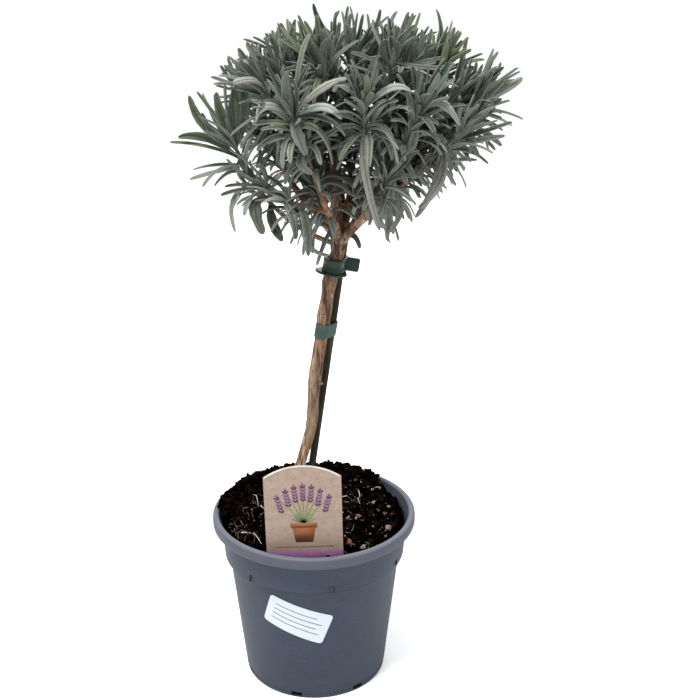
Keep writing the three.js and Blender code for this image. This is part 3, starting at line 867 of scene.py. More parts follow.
# %% Shoot sizes
FRONT_TIPS = [(-8, -60, 402), (31, -64, 406), (64, -56, 406), (103, -14, 406), (90, -30, 386)]
FRONT_TIPS += [(-28, -26, 414), (6, -30, 430), (50, -22, 430), (80, -4, 421), (-36, 8, 402)]
FRONT_TIPS += [(-27, -24, 353), (50, -38, 358), (-14, 20, 426), (26, 8, 428), (6, -30, 347)]
FRONT_TIPS += [(58, 14, 426), (-12, -22, 342)]
LONG_SHOOT = dict(start=0.58, lean=0.3, leaves=1.2)
LONG_SHOOT.update(tip=vec(-45, -24, 380), leaving=vec(-0.9, -0.35, 0.3))
CROWN_CENTRE, CROWN_RADII = vec(27, 2, 382), (74, 70, 48)
CROWN_PLACES, CROWN_LOWEST, CROWN_TAPER, CROWN_SPACING = 38, -0.62, 0.8, 26.5
SHOOT = dict(start=0.4, base=1.4, tip=1.2, lean=0.62, leaves=1, shortest=42, tries=20)
LEAF = dict(width=4.9, length=43, pairs=7, root_depth=0.8)
BENDS = [(0, 0, 1), (14, 0, 1), (-14, 0, 1), (0, 9, 1), (0, -9, 1), (24, 8, 0.94), (-24, 8, 0.94)]
BENDS += [(26, -10, 0.9), (-26, -10, 0.9), (40, 0, 0.85), (-40, 0, 0.85), (0, -16, 0.75), (0, 16, 0.75)]


def shoot_tips():
    """Where the shoots end: the front ones as set, the rest spread evenly over the crown."""
    tips = [vec(*tip) for tip in FRONT_TIPS]
    for i in range(CROWN_PLACES):
        rise = mix(CROWN_LOWEST, 1, (i + 0.5) / CROWN_PLACES)
        girth = math.sqrt(1 - rise * rise) * (1 + CROWN_TAPER * min(0, rise))
        angle = i * GOLDEN_ANGLE
        place = (girth * math.cos(angle), girth * math.sin(angle), rise)
        spot = CROWN_CENTRE + vec(*(r * p for r, p in zip(CROWN_RADII, place)))
        if all((spot - other).length > CROWN_SPACING for other in [*tips, LONG_SHOOT["tip"]]):
            tips.append(spot)
    return [*tips, LONG_SHOOT["tip"]]


print("the crown has places for", len(shoot_tips()), "shoots")


# %% Shoots and leaves by rule
class Shoot:
    """A shoot's line, from the limb that ends nearest up to its growing tip."""

    def __init__(self, tip, index, long):
        rule = LONG_SHOOT if long else SHOOT
        self.index, self.start, self.leaves = index, rule["start"], rule["leaves"]
        self.limb = min(limbs, key=lambda limb: (limb.tip - tip).length)
        along = max(0.3, 1 - 0.13 * self.limb.twigs)
        while along > 0.35 and (self.limb.path.at(along) - tip).length < SHOOT["shortest"]:
            along -= 0.1
        root = FORK if long else self.limb.path.at(along)
        span, chord = (tip - root).length, unit(tip - root)
        leaving = rule["leaving"] if long else unit(self.limb.path.along(along) + chord)
        outwards = vec(tip.x - CROWN_CENTRE.x, tip.y - CROWN_CENTRE.y, 0) / CROWN_RADII[0]
        heading = unit(UP + outwards * rule["lean"])
        self.path = Bend(root, root + leaving * (span * 0.3), tip - heading * (span * 0.38), tip)
        self.side = turned(crossways(self.path), chord, 180 * draw(index + 0.5))

    def leaf_form(self, pair, half):
        """A leaf of a pair: its rank from the foot up, and how it stands, bows and hangs."""
        rank = pair / (LEAF["pairs"] - 1)
        seed = self.index * 97 + pair * 7 + half * 3
        full = LEAF["length"] * (0.7 + 0.5 * rank - 0.42 * rank**3) * self.leaves
        at = mix(self.start + 0.07, 0.96, 1 - (1 - rank) ** 1.35)
        hang = clamp((375 - self.path.at(at).z) / 35, 0, 1)
        return dict(
            rank=rank,
            at=at,
            angle=mix(60, 15, rank) + 12 * (draw(seed) - 0.5),
            turn=45 + 90 * pair + 180 * half + 24 * (draw(seed + 0.3) - 0.5),
            length=full * (0.9 + 0.2 * draw(seed + 0.6)),
            droop=100 * (1 - rank) ** 0.75 + 30 * hang,
        )

    def leaf(self, form, turn=0, tilt=0, share=1):
        """The line of one leaf and the way across it."""
        along = self.path.along(form["at"])
        out = unit(self.side - along * self.side.dot(along))
        out = turned(out, along, form["turn"] + turn)
        angle = math.radians(form["angle"] + tilt)
        heading = along * math.cos(angle) + out * math.sin(angle)
        root = self.path.at(form["at"]) - heading * LEAF["root_depth"]
        bend = min(form["droop"], 105, 0.85 * math.degrees(heading.angle(DOWN)))
        fall = turned(heading, unit(heading.cross(DOWN)), bend)
        length = form["length"] * share
        elbow = root + heading * (length * 0.45)
        return Bend(root, elbow, elbow + fall * (length * 0.55)), unit(along.cross(heading))


print("a shoot is bare for", SHOOT["start"], "of its line, the long one for", LONG_SHOOT["start"])


# %% Finding the plain model's leaves
def corners(node):
    """A quick finder for the corners of a plain node, in millimetres."""
    dots = [v.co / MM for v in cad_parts[node].data.vertices]
    tree = kdtree.KDTree(len(dots))
    for i, dot in enumerate(dots):
        tree.insert(dot, i)
    tree.balance()
    return lambda spot: tree.find(spot)[2] < 0.05


def grown_shoots():
    """Every shoot of the plain model, in the order of its nodes, with its main leaves."""
    names = sorted(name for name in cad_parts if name.startswith("shoot_"))
    tips, shoots = shoot_tips(), []
    for i, tip in enumerate(tips):
        if len(shoots) == len(names):
            break
        is_corner = corners(names[len(shoots)])
        for step in range(SHOOT["tries"]):
            aside = vec(math.cos(step * GOLDEN_ANGLE), math.sin(step * GOLDEN_ANGLE), 0.4)
            shoot = Shoot(tip + aside * (1.5 * step), i, i == len(tips) - 1)
            low = shoot.start + 0.55 / shoot.path.length()
            centre, _, under = frame_at(shoot.path, low, shoot.side)
            if is_corner(centre + under * SHOOT["base"]):
                shoot.node, shoot.is_corner = names[len(shoots)], is_corner
                shoot.limb.twigs += 1
                shoots.append(shoot)
                break
    return shoots


def main_leaves(shoot):
    """The leaves that the plain model has, each as it was bent there."""
    for pair in range(LEAF["pairs"]):
        for half in (0, 1):
            form = shoot.leaf_form(pair, half)
            for bend in BENDS:
                path, side = shoot.leaf(form, *bend)
                if shoot.is_corner(path.at(1)):
                    yield form, path, side
                    break


shoots = grown_shoots()
print("shoots found:", len(shoots), "of", sum(n.startswith("shoot_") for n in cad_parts))

# %% Trunk mesh
# Each knot has a height, an angle round the stem, how far it stands out and half its length.
KNOTS = [(284, 195, 1.0, 5.5), (262, 150, 0.5, 4), (228, 300, 0.6, 5), (205, 215, 0.5, 4)]
KNOTS += [(176, 280, 0.6, 5), (151, 200, 0.5, 4), (238, 40, 0.6, 5), (190, 80, 0.6, 5)]
KNOTS += [(300, 265, 0.5, 4), (136, 320, 0.5, 4)]
KNOT_WIDTH = 0.5
SLIMMER = 0.35  # how much slimmer the stem is than the plain one, so that the stake stands clear
STUBS = [((1.5, -1, 214), (6.4, -3.4, 215.5)), ((8.5, -2, 262), (6.6, -6, 264))]


def trunk_radius(t, turn):
    """The stem's radius: thicker to the fork, fluted and knuckled, with its knots."""
    flutes = 0.05 * math.sin(3 * turn + 9 * t) + 0.04 * math.sin(5 * turn - 14 * t)
    knuckles = 0.04 * math.sin(t * 37) + 0.03 * math.sin(t * 61 + 1)
    height, rise = TRUNK_LINE.at(t).z, 0
    for knot_height, degrees, swell, half in KNOTS:
        aside = (turn - math.radians(degrees) + math.pi) % FULL_TURN - math.pi
        rise += swell * math.exp(-(((height - knot_height) / half) ** 2) - (aside / KNOT_WIDTH) ** 2)
    return mix(FOOT_RADIUS, FORK_RADIUS, t * t) * (1 + flutes + knuckles) - SLIMMER + rise


def trunk_shape():
    """The stem, two stubs where twigs were cut off, the limbs, and a twig for each shoot."""
    shape, start = Shape(), SHOOT["base"] - 0.1
    woody_tube(shape, TRUNK_LINE, evenly(0, 1, 190), 44, trunk_radius, BACK, 0.62, lambda t: 1)
    for foot, tip in STUBS:
        path, radius = Bend(vec(*foot), vec(*tip)), lambda t, turn: 1.4 - 0.6 * t
        woody_tube(shape, path, evenly(0, 1, 8), 12, radius, BACK, 0.2, lambda t: 0.9)
    for limb in limbs:
        path, age = limb.path, lambda t: 0.95 - 0.35 * t
        radius = lambda t, turn: mix(3.6, limb.radius, t) * (1 + 0.05 * math.sin(9 * t + 2 * turn))
        woody_tube(shape, path, evenly(0, 1, 36), 22, radius, crossways(path), 0.3, age)
    for shoot in shoots:
        path, age = shoot.path, lambda t: 0.6 - 0.5 * t / shoot.start
        radius = lambda t, turn: mix(1.85, start, t / shoot.start)
        woody_tube(shape, path, evenly(0, shoot.start, 20), 12, radius, shoot.side, 0.14, age)
    return shape


trunk = trunk_shape().piece("woody_trunk", wood_finish, "bark", "trunk")
print("trunk, limbs and twigs:", len(trunk.data.polygons), "faces")

# %% [markdown]
# A lavender leaf is narrow and blunt. Its margins roll under, the midrib is a groove above and a rib
# below, and a grey felt covers it. One cross-section with sixteen corners has all of that, and it is
# swept along the leaf's line. A flat card with a picture of a leaf would be lighter, but its edge
# vanishes when it is seen from the side. No two leaves are alike: each bows to a side, sags, twists
# and folds along its midrib by draws of its own.

# %% Leaf section
LEAF_CUT = [(0, -0.62), (0.15, -0.5), (0.45, -0.22), (0.8, -0.44), (0.98, -0.1), (0.84, 0.3)]
LEAF_CUT += [(0.5, 0.42), (0.13, 0.3), (0, 0.04)]
LEAF_CUT += [(-x, z) for x, z in LEAF_CUT[7:0:-1]]
UNDERSIDE = [1.0 if z < -0.15 else 0.0 for x, z in LEAF_CUT]
FROM_MIDRIB = [abs(x) for x, z in LEAF_CUT]
FULL_STATIONS = (0, 0.07, 0.16, 0.27, 0.39, 0.51, 0.63, 0.75, 0.85, 0.92, 0.96, 0.985, 1)
SMALL_STATIONS = (0, 0.12, 0.32, 0.55, 0.76, 0.9, 0.97, 1)
FULL_REACH, FULL_TWIST = 0.985, 110


def crown_share(spot):
    """How far out in the crown a spot is: 0 at its middle, 1 at its skin."""
    return vec(*((p - c) / r for p, c, r in zip(spot, CROWN_CENTRE, CROWN_RADII))).length


def leaf_share(t):
    """The leaf's width at a station, as a share of its widest."""
    tip = math.sqrt(max(0.006, 1 - ((t - 0.9) / 0.1) ** 2)) if t > 0.9 else 1
    return mix(0.36, 1, smooth(0, 0.45, t)) * mix(1, 0.7, smooth(0.55, 0.97, t)) * tip


print("corners round a leaf:", len(LEAF_CUT))


# %% One leaf
def add_leaf(shape, path, side, width, seed, age, stations=FULL_STATIONS, reach=FULL_REACH, **marks):
    """Adds one blade along a line, up to `reach` of it, with a bow, a twist and margins of its own."""
    length = (path.at(1) - path.at(0)).length
    bow, sag = 0.3 * (draw(seed + 0.5) - 0.5) * length, (0.2 * draw(seed + 0.8) - 0.08) * length
    twist, wave = FULL_TWIST * (draw(seed + 0.1) - 0.5), 0.05 + 0.07 * draw(seed + 0.2)
    phase = 6.28 * draw(seed + 0.4)
    fold = mix(0.6, -0.25, clamp(age, 0, 1)) + 0.3 * (draw(seed + 0.6) - 0.5)
    rings = []
    for t in stations:
        along, share = path.along(t), leaf_share(t)
        centre = path.at(t * reach) + side * (bow * math.sin(2.6 * t)) + DOWN * (sag * t * t)
        under = turned(unit(side.cross(along)), along, twist * t)
        across = along.cross(under)
        half = width / 2 * share
        deep, raised = 0.45 + 0.55 * share, fold * half * smooth(0, 0.3, t)
        half_wave = half * (1 + wave * math.sin(11 * t + phase))
        cut = [(x * half_wave, z * deep + abs(x) * raised) for x, z in LEAF_CUT]
        rings.append([centre + across * x - under * z for x, z in cut])
    marks["deep"] = [1 - smooth(0.55, 1, crown_share(path.at(t))) for t in stations]
    marks.update(under=[UNDERSIDE] * len(rings), across=[FROM_MIDRIB] * len(rings))
    shape.ring_run(rings, age=age, span=list(stations), tint=draw(seed + 0.9), **marks)


print("a leaf has", len(FULL_STATIONS) * len(LEAF_CUT), "corners")

# %% [markdown]
# Besides its main pairs, a real shoot has a tuft of young leaves at the tip, some of which stand
# straight up, short leaves in the angle between each leaf and the stem, stray ones, and old leaves
# that hang from its woody foot. They hide most of the stems, so they are what makes the crown look
# full. Each rule below gives a leaf's form, its width and its age.

# %% The crown's outline
CEILING = dict(height=456, uneven=3.5, left=5, left_slope=0.45, right=75, right_slope=0.65)
SPIRAL = 137.5


def leaf_ceiling(spot):
    """The height of the crown's uneven upper outline: lower at both sides than in the middle."""
    rule, x = CEILING, spot.x
    uneven = rule["uneven"] * math.sin(1.7 * x + 2.3 * spot.y)
    left = rule["left_slope"] * max(0, rule["left"] - x)
    right = rule["right_slope"] * max(0, x - rule["right"])
    return rule["height"] + uneven - left - right


def crown_height(shoot):
    """How high a shoot ends in the crown: 0 for the lowest and the long one, 1 from half way up."""
    return 0 if shoot.leaves > 1 else clamp((shoot.path.at(1).z - 350) / 55, 0, 1)


print("the crown's outline over its middle:", round(leaf_ceiling(CROWN_CENTRE)), "mm")


# %% Leaves at the tip
def tuft(shoot, seed, full):
    for i in range(round(mix(5, 12, full))):
        a = draw(seed + 20 + i)
        form = dict(at=0.94 + 0.005 * i, angle=30 - 2.5 * i + 5 * a, turn=SPIRAL * i)
        yield dict(form, droop=5 + 25 * a, length=29 - 1.4 * i + 5 * a), 3.8 - 0.12 * i, 0.0


def upright(shoot, seed, full):
    for i in range(round(5 * full)):
        a, at = draw(seed + 35 + i), 0.84 + 0.022 * i
        spot = shoot.path.at(at)
        length = clamp(leaf_ceiling(spot) - spot.z, 12, 33 + 5 * a)
        form = dict(at=at, angle=7 + 9 * a, turn=SPIRAL * i + 60, droop=6 * a, length=length)
        yield form, 3.6 + 0.5 * a, 0.1


print("leaves in a full tuft:", len([*tuft(shoots[0], 0, 1)]))


# %% Leaves down the stem
def in_the_angles(shoot, seed, full):
    for pair in range(1, LEAF["pairs"]):
        for half in (0, 1):
            main = shoot.leaf_form(pair, half)
            a, b = draw(seed + pair * 5 + half), draw(seed + pair * 5 + half + 0.5)
            form = dict(main, turn=main["turn"] + 50 * (a - 0.5), angle=main["angle"] * 0.55)
            if a < mix(0.3, 0.9, full):
                yield dict(form, length=10 + 12 * b, droop=12 + 20 * a), 2.6 + 1.2 * b, 0.25


def between_pairs(shoot, seed, full):
    for i in range(round(mix(2, 10, full))):
        a, b, main = draw(seed + 60 + i), draw(seed + 75 + i), shoot.leaf_form(0.4 + i * 0.5, i % 2)
        young = main["rank"]
        form = dict(main, turn=main["turn"] + 45 + 40 * (a - 0.5))
        form.update(droop=main["droop"] + 60 * a * (1 - young), angle=main["angle"] * (0.8 + 0.5 * b))
        form["length"] *= 0.6 + 0.4 * b
        yield form, 3.2 + 1.2 * b, 1 - young


def stray(shoot, seed, full):
    for i in range(round(mix(2, 6, full))):
        a, b, c = draw(seed + 100 + i), draw(seed + 110 + i), draw(seed + 120 + i)
        form = dict(at=0.5 + 0.42 * a, angle=30 + 55 * b, turn=360 * c, length=26 + 14 * c)
        yield dict(form, droop=40 + 65 * b), 2.6 + 1.6 * a, 0.4 + 0.7 * c


def at_the_foot(shoot, seed, full):
    for i in range(round(mix(1, 4, full))):
        a, b = draw(seed + 80 + i), draw(seed + 90 + i)
        form = dict(at=shoot.start * (0.42 + 0.15 * i), angle=55 + 20 * a, turn=360 * b)
        yield dict(form, length=22 + 13 * a, droop=75 + 20 * b), 3.4 + 1.4 * b, 1.2


def more_leaves(shoot):
    """The small and extra leaves of a shoot. Low shoots are sparse."""
    for rule in (tuft, upright, in_the_angles, between_pairs, stray, at_the_foot):
        yield from rule(shoot, shoot.index * 53 + 7, crown_height(shoot))


print("extra leaves on the first shoot:", len([*more_leaves(shoots[0])]))

# %% Adding a shoot
FRESH = {6: 0.35, 8: 0.6}  # how yellow-green the young leaves of two of the shoots are
CROWN_SIDE = 86


def leaf_reach(path):
    """How much of its line a leaf takes: less where it hangs low round the crown, where it would
    stand past the plain model's side, and where it stands too high."""
    foot, tip = path.at(0), path.at(1)
    inner = 1 - smooth(30, 50, math.hypot(tip.x - CROWN_CENTRE.x, tip.y - CROWN_CENTRE.y))
    reach = mix(0.74, FULL_REACH, max(inner, smooth(325, 385, tip.z)))
    if abs(tip.y - CROWN_CENTRE.y) > CROWN_SIDE:
        reach *= 0.97
    if tip.z > leaf_ceiling(tip):
        reach *= clamp((leaf_ceiling(tip) - foot.z) / (tip.z - foot.z), 0.7, 1)
    return reach


def add_shoot(shape, shoot, foot, leaves):
    """Adds a green stem from a foot on its line up, its main leaves, and the extra ones."""
    start, stations = shoot.start, evenly(foot, 1, 34)
    radius = lambda t, turn: mix(SHOOT["base"], SHOOT["tip"], (t - foot) / (1 - foot)) - 0.1
    ages = [clamp(1 - (t - start) / (1 - start), 0, 1) for t in stations]
    shape.ring_run(round_rings(shoot.path, stations, 10, radius, shoot.side), stem=1.0, age=ages)
    seed, fresh = shoot.index * 31 + 3, FRESH.get(shoot.index, 0)
    for i, (form, path, side) in enumerate(leaves):
        width = LEAF["width"] * (0.6 + 0.28 * draw(seed + i)) * mix(0.85, 1, crown_height(shoot))
        marks = dict(tone=draw(seed + i + 0.7), fresh=fresh * max(0, 2 * form["rank"] - 1))
        add_leaf(shape, path, side, width, seed + i, 1 - form["rank"], reach=leaf_reach(path), **marks)
    for i, (form, width, age) in enumerate(more_leaves(shoot), 20):
        path, side = shoot.leaf(form)
        marks = dict(tone=draw(seed + i + 0.7), fresh=fresh * max(0, 1 - 3 * age))
        add_leaf(shape, path, side, width, seed + i, age, SMALL_STATIONS, leaf_reach(path), **marks)


print("shoots with yellow-green tips:", len(FRESH))

# %% [markdown]
# The felt is what makes lavender grey: over a darker green there is a coat of fine pale hairs,
# thicker underneath and at the rolled margins. So the finish starts green, adds the pale coat by the
# numbers kept on each leaf, and roughens the surface with very fine noise. Leaves deep in the crown
# get less light than a small scene can show, so a last coat darkens them.


# %% Leaf finish
def leaf_finish():
    finish = Finish("lavender_leaf", Specular_IOR_Level=0.22, Sheen_Weight=0.06, Sheen_Roughness=0.4)
    tone, age, tint = finish.mark("tone"), finish.mark("age"), finish.mark("tint")
    under, across, span = finish.mark("under"), finish.mark("across"), finish.mark("span")
    felt, patch = finish.cloud(900, 5, 0.7), finish.cloud(120, 3, 0.55)
    # the midrib groove on the upper side, which gets painted shade
    aged, groove_shade = age.between(0.1, 1.1), (1 - across.between(0.02, 0.2)) * (1 - under)
    dark = finish.blend(tint, (0.017, 0.027, 0.007), (0.012, 0.024, 0.014))
    light = finish.blend(tint, (0.076, 0.096, 0.05), (0.078, 0.104, 0.082))
    silver = finish.blend(tint, (0.215, 0.196, 0.178), (0.19, 0.2, 0.188))
    green = finish.coats(
        finish.blend(tone, dark, light),
        (patch.between(0.35, 0.7) * 0.28, (0.09, 0.112, 0.088)),
        (aged * (0.15 + 0.6 * tone), silver),
        (finish.mark("fresh"), (0.07, 0.095, 0.017)),
        # painted shade in the midrib groove on the upper side
        (groove_shade * 0.7, (0.01, 0.018, 0.008)),
        (across.between(0.72, 1) * 0.5, (0.19, 0.2, 0.18)),
        (under * (0.25 + 0.4 * aged), (0.188, 0.19, 0.177)),
        (felt.between(0.5, 0.72) * (0.15 + 0.48 * aged), (0.275, 0.28, 0.265)),
    )
    stalk = finish.blend(age.between(0.2, 1), (0.045, 0.055, 0.03), (0.055, 0.034, 0.023))
    colour = finish.coats(
        green,
        (finish.mark("stem"), finish.coats(stalk, (felt.between(0.45, 0.7) * 0.35, (0.15, 0.15, 0.12)))),
        (span.between(0.965, 1) * tone * 0.6, (0.08, 0.045, 0.025)),
        (finish.mark("deep") * 0.93, (0.0075, 0.0105, 0.004)),
    )
    finish.set(Base_Color=colour, Roughness=0.5 + 0.3 * felt)
    finish.bump(0.6 * felt + 0.4 * patch, 0.22, 0.7)
    return finish.material


foliage_finish = leaf_finish()
print("foliage is coloured by what is kept on each leaf")

# %% The main shoots
for shoot in shoots:
    shape = Shape()
    add_shoot(shape, shoot, shoot.start - 0.02, main_leaves(shoot))
    shape.piece("lavender_" + shoot.node, foliage_finish, "leaf", shoot.node)
print("shoots dressed:", len(shoots))

# %% [markdown]
# Between the main shoots stand thinner ones that close the gaps at the top. They follow the same
# rules and start at the same limbs.

# %% Filling shoots
FILLING_TIPS = [(15, 0, 424), (44, 12, 422), (72, 5, 420), (-29, 4, 414), (-6, 24, 418), (60, -14, 424)]
FILLING_TIPS += [(89, -14, 408), (101, 8, 394), (-18, -8, 416)]

filling = Shape()
for index, tip in enumerate(FILLING_TIPS, 40):
    shoot = Shoot(vec(*tip), index, False)
    forms = [shoot.leaf_form(pair, half) for pair in range(2, LEAF["pairs"]) for half in (0, 1)]
    forms = [dict(form, length=form["length"] * 0.8) for form in forms]
    add_shoot(filling, shoot, 0.02, [(form, *shoot.leaf(form)) for form in forms])
filling.piece("filling_shoots", foliage_finish, "leaf")
print("filling shoots:", len(FILLING_TIPS))

# %% [markdown]
# A few leaves catch the eye: long ones that hang, broad ones at the lower left, arched ones with a
# bright back, and ones that stand up at the top. Each is given by three points, where it starts,
# bulges and ends, and its foot is moved to the nearest stem so that it grows from something.

# %% Single leaves
SINGLE_LEAVES = [
    # start, bulge, end, width, age, tone
    ((34, -62, 392), (36, -72, 376), (44, -62, 337), 5.6, 1.2, 0.6),
    ((-29, -22, 342), (-42, -25, 347), (-29, -26, 324), 8.2, 0.6, 0.2),
    ((-27, -22, 336), (-27, -26, 326), (-17, -26, 320), 7.6, 0.4, 0.1),
    ((-39, -24, 350), (-57, -27, 353), (-46, -27, 327), 3.2, 1.1, 0.8),
    ((-46, -24, 361), (-58, -29, 369), (-72, -31, 357), 3.0, 1.0, 0.5),
    ((-47, -24, 363), (-59, -18, 363), (-71, -18, 364), 3.2, 0.6, 0.3),
    ((-39, -12, 372), (-43, -13, 361), (-33, -15, 349), 3.4, 1.2, 0.9),
    ((-16, -26, 345), (-7, -38, 340), (-8, -36, 321), 6.2, 0.7, 0.3),
    ((-6, -30, 342), (-1, -44, 336), (-1, -40, 316), 6.6, 0.6, 0.2),
    ((-6, -20, 334), (0, -24, 312), (14, -24, 313), 3.0, 1.0, 0.7),
    ((24, -6, 317), (30, -10, 321), (31, -13, 312), 4.0, 0.5, 0.2),
    ((75, -36, 377), (74, -42, 358), (63, -42, 342), 5.6, 0.9, 0.8),
    ((64, -34, 361), (55, -42, 354), (49, -40, 322), 5.2, 0.8, 0.4),
    ((-4, -60, 405), (12, -77, 421), (20, -76, 402), 5.6, 1.0, 1.0),
    ((-6, -60, 406), (-26, -73, 422), (-28, -74, 401), 5.4, 1.1, 1.0),
    ((-4, -58, 410), (0, -68, 427), (22, -68, 424), 4.6, 1.0, 0.8),
    ((64, -56, 408), (76, -69, 421), (86, -68, 397), 5.4, 0.9, 0.8),
    ((34, -62, 388), (48, -70, 404), (52, -68, 375), 2.8, 1.1, 0.7),
    ((100, -14, 404), (118, -15, 403), (128, -14, 417), 5.2, 1.0, 1.0),
    ((-46, -24, 366), (-61, -27, 378), (-79, -27, 385), 5.8, 0.3, 0.1),
    ((30, -60, 411), (24, -71, 429), (15, -70, 416), 4.6, 0.8, 0.7),
    ((37, -55, 412), (47, -68, 428), (59, -68, 414), 5.0, 0.9, 0.9),
    ((-16, -62, 393), (-5, -73, 399), (1, -68, 381), 6.6, 0.5, 0.6),
    ((-5, -60, 403), (15, -71, 410), (22, -66, 390), 5.6, 0.4, 0.3),
    ((-14, -55, 376), (-5, -66, 374), (4, -64, 368), 5.6, 0.5, 0.5),
    ((-4, -60, 403), (11, -73, 397), (14, -62, 370), 4.6, 0.7, 0.3),
    ((-12, -40, 410), (-27, -48, 425), (-43, -48, 416), 4.8, 1.0, 1.0),
    ((-18, -30, 411), (-31, -38, 431), (-44, -36, 428), 4.0, 0.9, 0.9),
    ((34, -50, 397), (51, -62, 404), (51, -58, 373), 3.0, 1.0, 0.5),
    ((72, -40, 393), (66, -50, 391), (58, -50, 375), 5.6, 0.6, 0.8),
    ((62, -35, 355), (59, -44, 341), (47, -42, 325), 5.0, 0.6, 0.4),
    ((76, -30, 372), (72, -42, 357), (62, -38, 341), 5.0, 0.9, 0.9),
    ((3, -57, 424), (-1, -62, 434), (4, -59, 443), 3.3, 0.6, 0.7),
    ((65, -40, 425), (74, -46, 431), (86, -45, 433), 3.0, 0.4, 0.5),
    ((106, -10, 389), (114, -14, 392), (123, -14, 385), 3.0, 0.8, 0.8),
    ((99, -10, 384), (108, -17, 385), (117, -16, 378), 4.0, 0.5, 0.6),
    ((-33, -30, 361), (-36, -35, 371), (-31, -34, 384), 2.6, 1.2, 0.6),
    ((-52, -26, 380), (-51, -28, 396), (-53, -28, 411), 6.2, 0.3, 0.2),
    ((-48, -26, 383), (-39, -29, 398), (-42, -26, 417), 5.4, 0.3, 0.4),
    ((-46, -26, 378), (-37, -27, 396), (-39, -24, 415), 5.8, 0.4, 0.1),
    ((8, 0, 425), (4, -3, 442), (3, -5, 457), 3.6, 0.1, 0.1),
    ((12, 0, 425), (13, 0, 443), (20, 0, 455), 2.2, 0.4, 0.6),
    ((17, 8, 425), (18, 11, 440), (19, 12, 452), 3.2, 0.2, 0.1),
    ((27, 5, 420), (27, 6, 440), (24, 6, 455), 2.0, 0.6, 0.7),
    ((30, 8, 425), (37, 9, 441), (42, 10, 454), 3.6, 0.1, 0.2),
    ((50, -8, 420), (50, -6, 440), (55, -5, 456), 4.8, 0.4, 0.5),
    ((72, 0, 415), (72, 0, 440), (73, 0, 455), 3.4, 0.3, 0.4),
    ((84, 5, 415), (85, 5, 430), (91, 5, 442), 3.0, 0.2, 0.3),
    ((91, 0, 410), (93, 0, 430), (96, 0, 440), 3.6, 0.1, 0.6),
    ((0, 5, 425), (-6, 8, 438), (-12, 10, 448), 2.2, 0.5, 0.5),
    ((-50, -26, 376), (-59, -28, 392), (-68, -28, 409), 5.4, 0.3, 0.1),
    ((-46, -26, 380), (-40, -30, 398), (-42, -30, 413), 6.4, 0.4, 0.3),
    ((-50, -26, 374), (-56, -28, 386), (-62, -28, 400), 4.6, 0.2, 0.0),
]
FACING, SINGLES_SEED = vec(0, -0.75, 0.65), 900


def nearest_stem(spot):
    """The point on any shoot or limb that is nearest to a spot."""
    lines = [shoot.path for shoot in shoots] + [limb.path for limb in limbs]
    dots = [line.at(t) for line in lines for t in evenly(0.1, 0.96, 60)]
    return min(dots, key=lambda dot: (dot - spot).length)


singles = Shape()
for i, (start, bulge, end, width, age, tone) in enumerate(SINGLE_LEAVES):
    path = Bend(nearest_stem(vec(*start)), vec(*bulge), vec(*end))
    side = unit(FACING.cross(path.along(0.3)))
    add_leaf(singles, path, side, width, SINGLES_SEED + i, age, tone=tone)
singles.piece("single_leaves", foliage_finish, "leaf")
print("leaves set by hand:", len(SINGLE_LEAVES))

# %% [markdown]
# ## The stake
#
# A dark cane keeps the stem straight. It is only a rod, but its skin is ribbed lengthwise and
# stained, with a dull sheen. The ribs are in the mesh, so they also show in its outline.

# %% Stake
STAKE = dict(radius=2.6, foot=vec(-15, 7.5, 54), top=vec(21.6, 7.5, 311))
stake_line = Bend(STAKE["foot"], STAKE["top"])


def cane_finish():
    finish = Finish("stake_cane", Specular_IOR_Level=0.12)
    fibre = finish.cloud(260, 5, 0.65, finish.stretch((1, 1, 0.08)))
    cane = finish.coats(
        finish.blend(fibre.between(0.35, 0.68), (0.009, 0.007, 0.005), (0.042, 0.032, 0.021)),
        (finish.cloud(45, 3).between(0.45, 0.7) * 0.45, (0.035, 0.035, 0.02)),
    )
    finish.set(Base_Color=cane, Roughness=0.55 + 0.25 * fibre)
    finish.bump(fibre, 0.3)
    return finish.material


def cane_radius(t, turn):
    """The cane's radius: ribbed, and rounded at its top."""
    rib = 0.04 * math.sin(11 * turn) + 0.03 * math.sin(7 * turn + 60 * t)
    tip = 0.4 * smooth(0.992, 1, t)
    return STAKE["radius"] - 0.08 + rib - tip


cane = Shape()
cane.ring_run(round_rings(stake_line, evenly(0, 0.99, 60) + [0.994, 0.997, 1], 44, cane_radius))
cane.piece("stake_cane", cane_finish(), "stake_wood", "stake", crease=50)
print("stake length:", round(stake_line.length()), "mm")

# %% [markdown]
# ## The ties
#
# Two ties hold the stem to the stake. The upper one is a moulded plastic collar with a flange below
# and its free end standing out at the right; the lower one is a band of tape. Both are a strap whose
# outline is two half circles joined by straights, as when it is pulled round two rods.

# %% Strap outline
BAND, TAPE, STAKE_GRIP = 10.5, 9.6, STAKE["radius"] + 0.25
UPPER_TIE, LOWER_TIE = dict(height=296, grip=5.8, thick=1.2), dict(height=252, grip=4.3, thick=0.4)
STRAP_SPANS = 40


def at_height(path, height):
    """The point at a height on a line that rises, by halving the span that it lies in."""
    low, high = 0.0, 1.0
    for _ in range(30):
        middle = (low + high) / 2
        low, high = (middle, high) if path.at(middle).z < height else (low, middle)
    return path.at(low)


def strap_outline(tie):
    """Points round the trunk and the stake on a tie's inner face, from above."""
    trunk_spot, stake_spot = (at_height(line, tie["height"]) for line in (TRUNK_LINE, stake_line))
    between = Vector((stake_spot - trunk_spot).xy)
    heading = math.atan2(between.y, between.x)
    flare = math.acos((tie["grip"] - STAKE_GRIP) / between.length)
    way = lambda angle: Vector((math.cos(angle), math.sin(angle)))
    round_trunk = evenly(heading + flare, heading + FULL_TURN - flare, STRAP_SPANS)
    round_stake = evenly(heading - flare, heading + flare, STRAP_SPANS // 2)
    points = [way(angle) * tie["grip"] for angle in round_trunk]
    return points + [between + way(angle) * STAKE_GRIP for angle in round_stake]


print("points round the strap:", len(strap_outline(UPPER_TIE)))

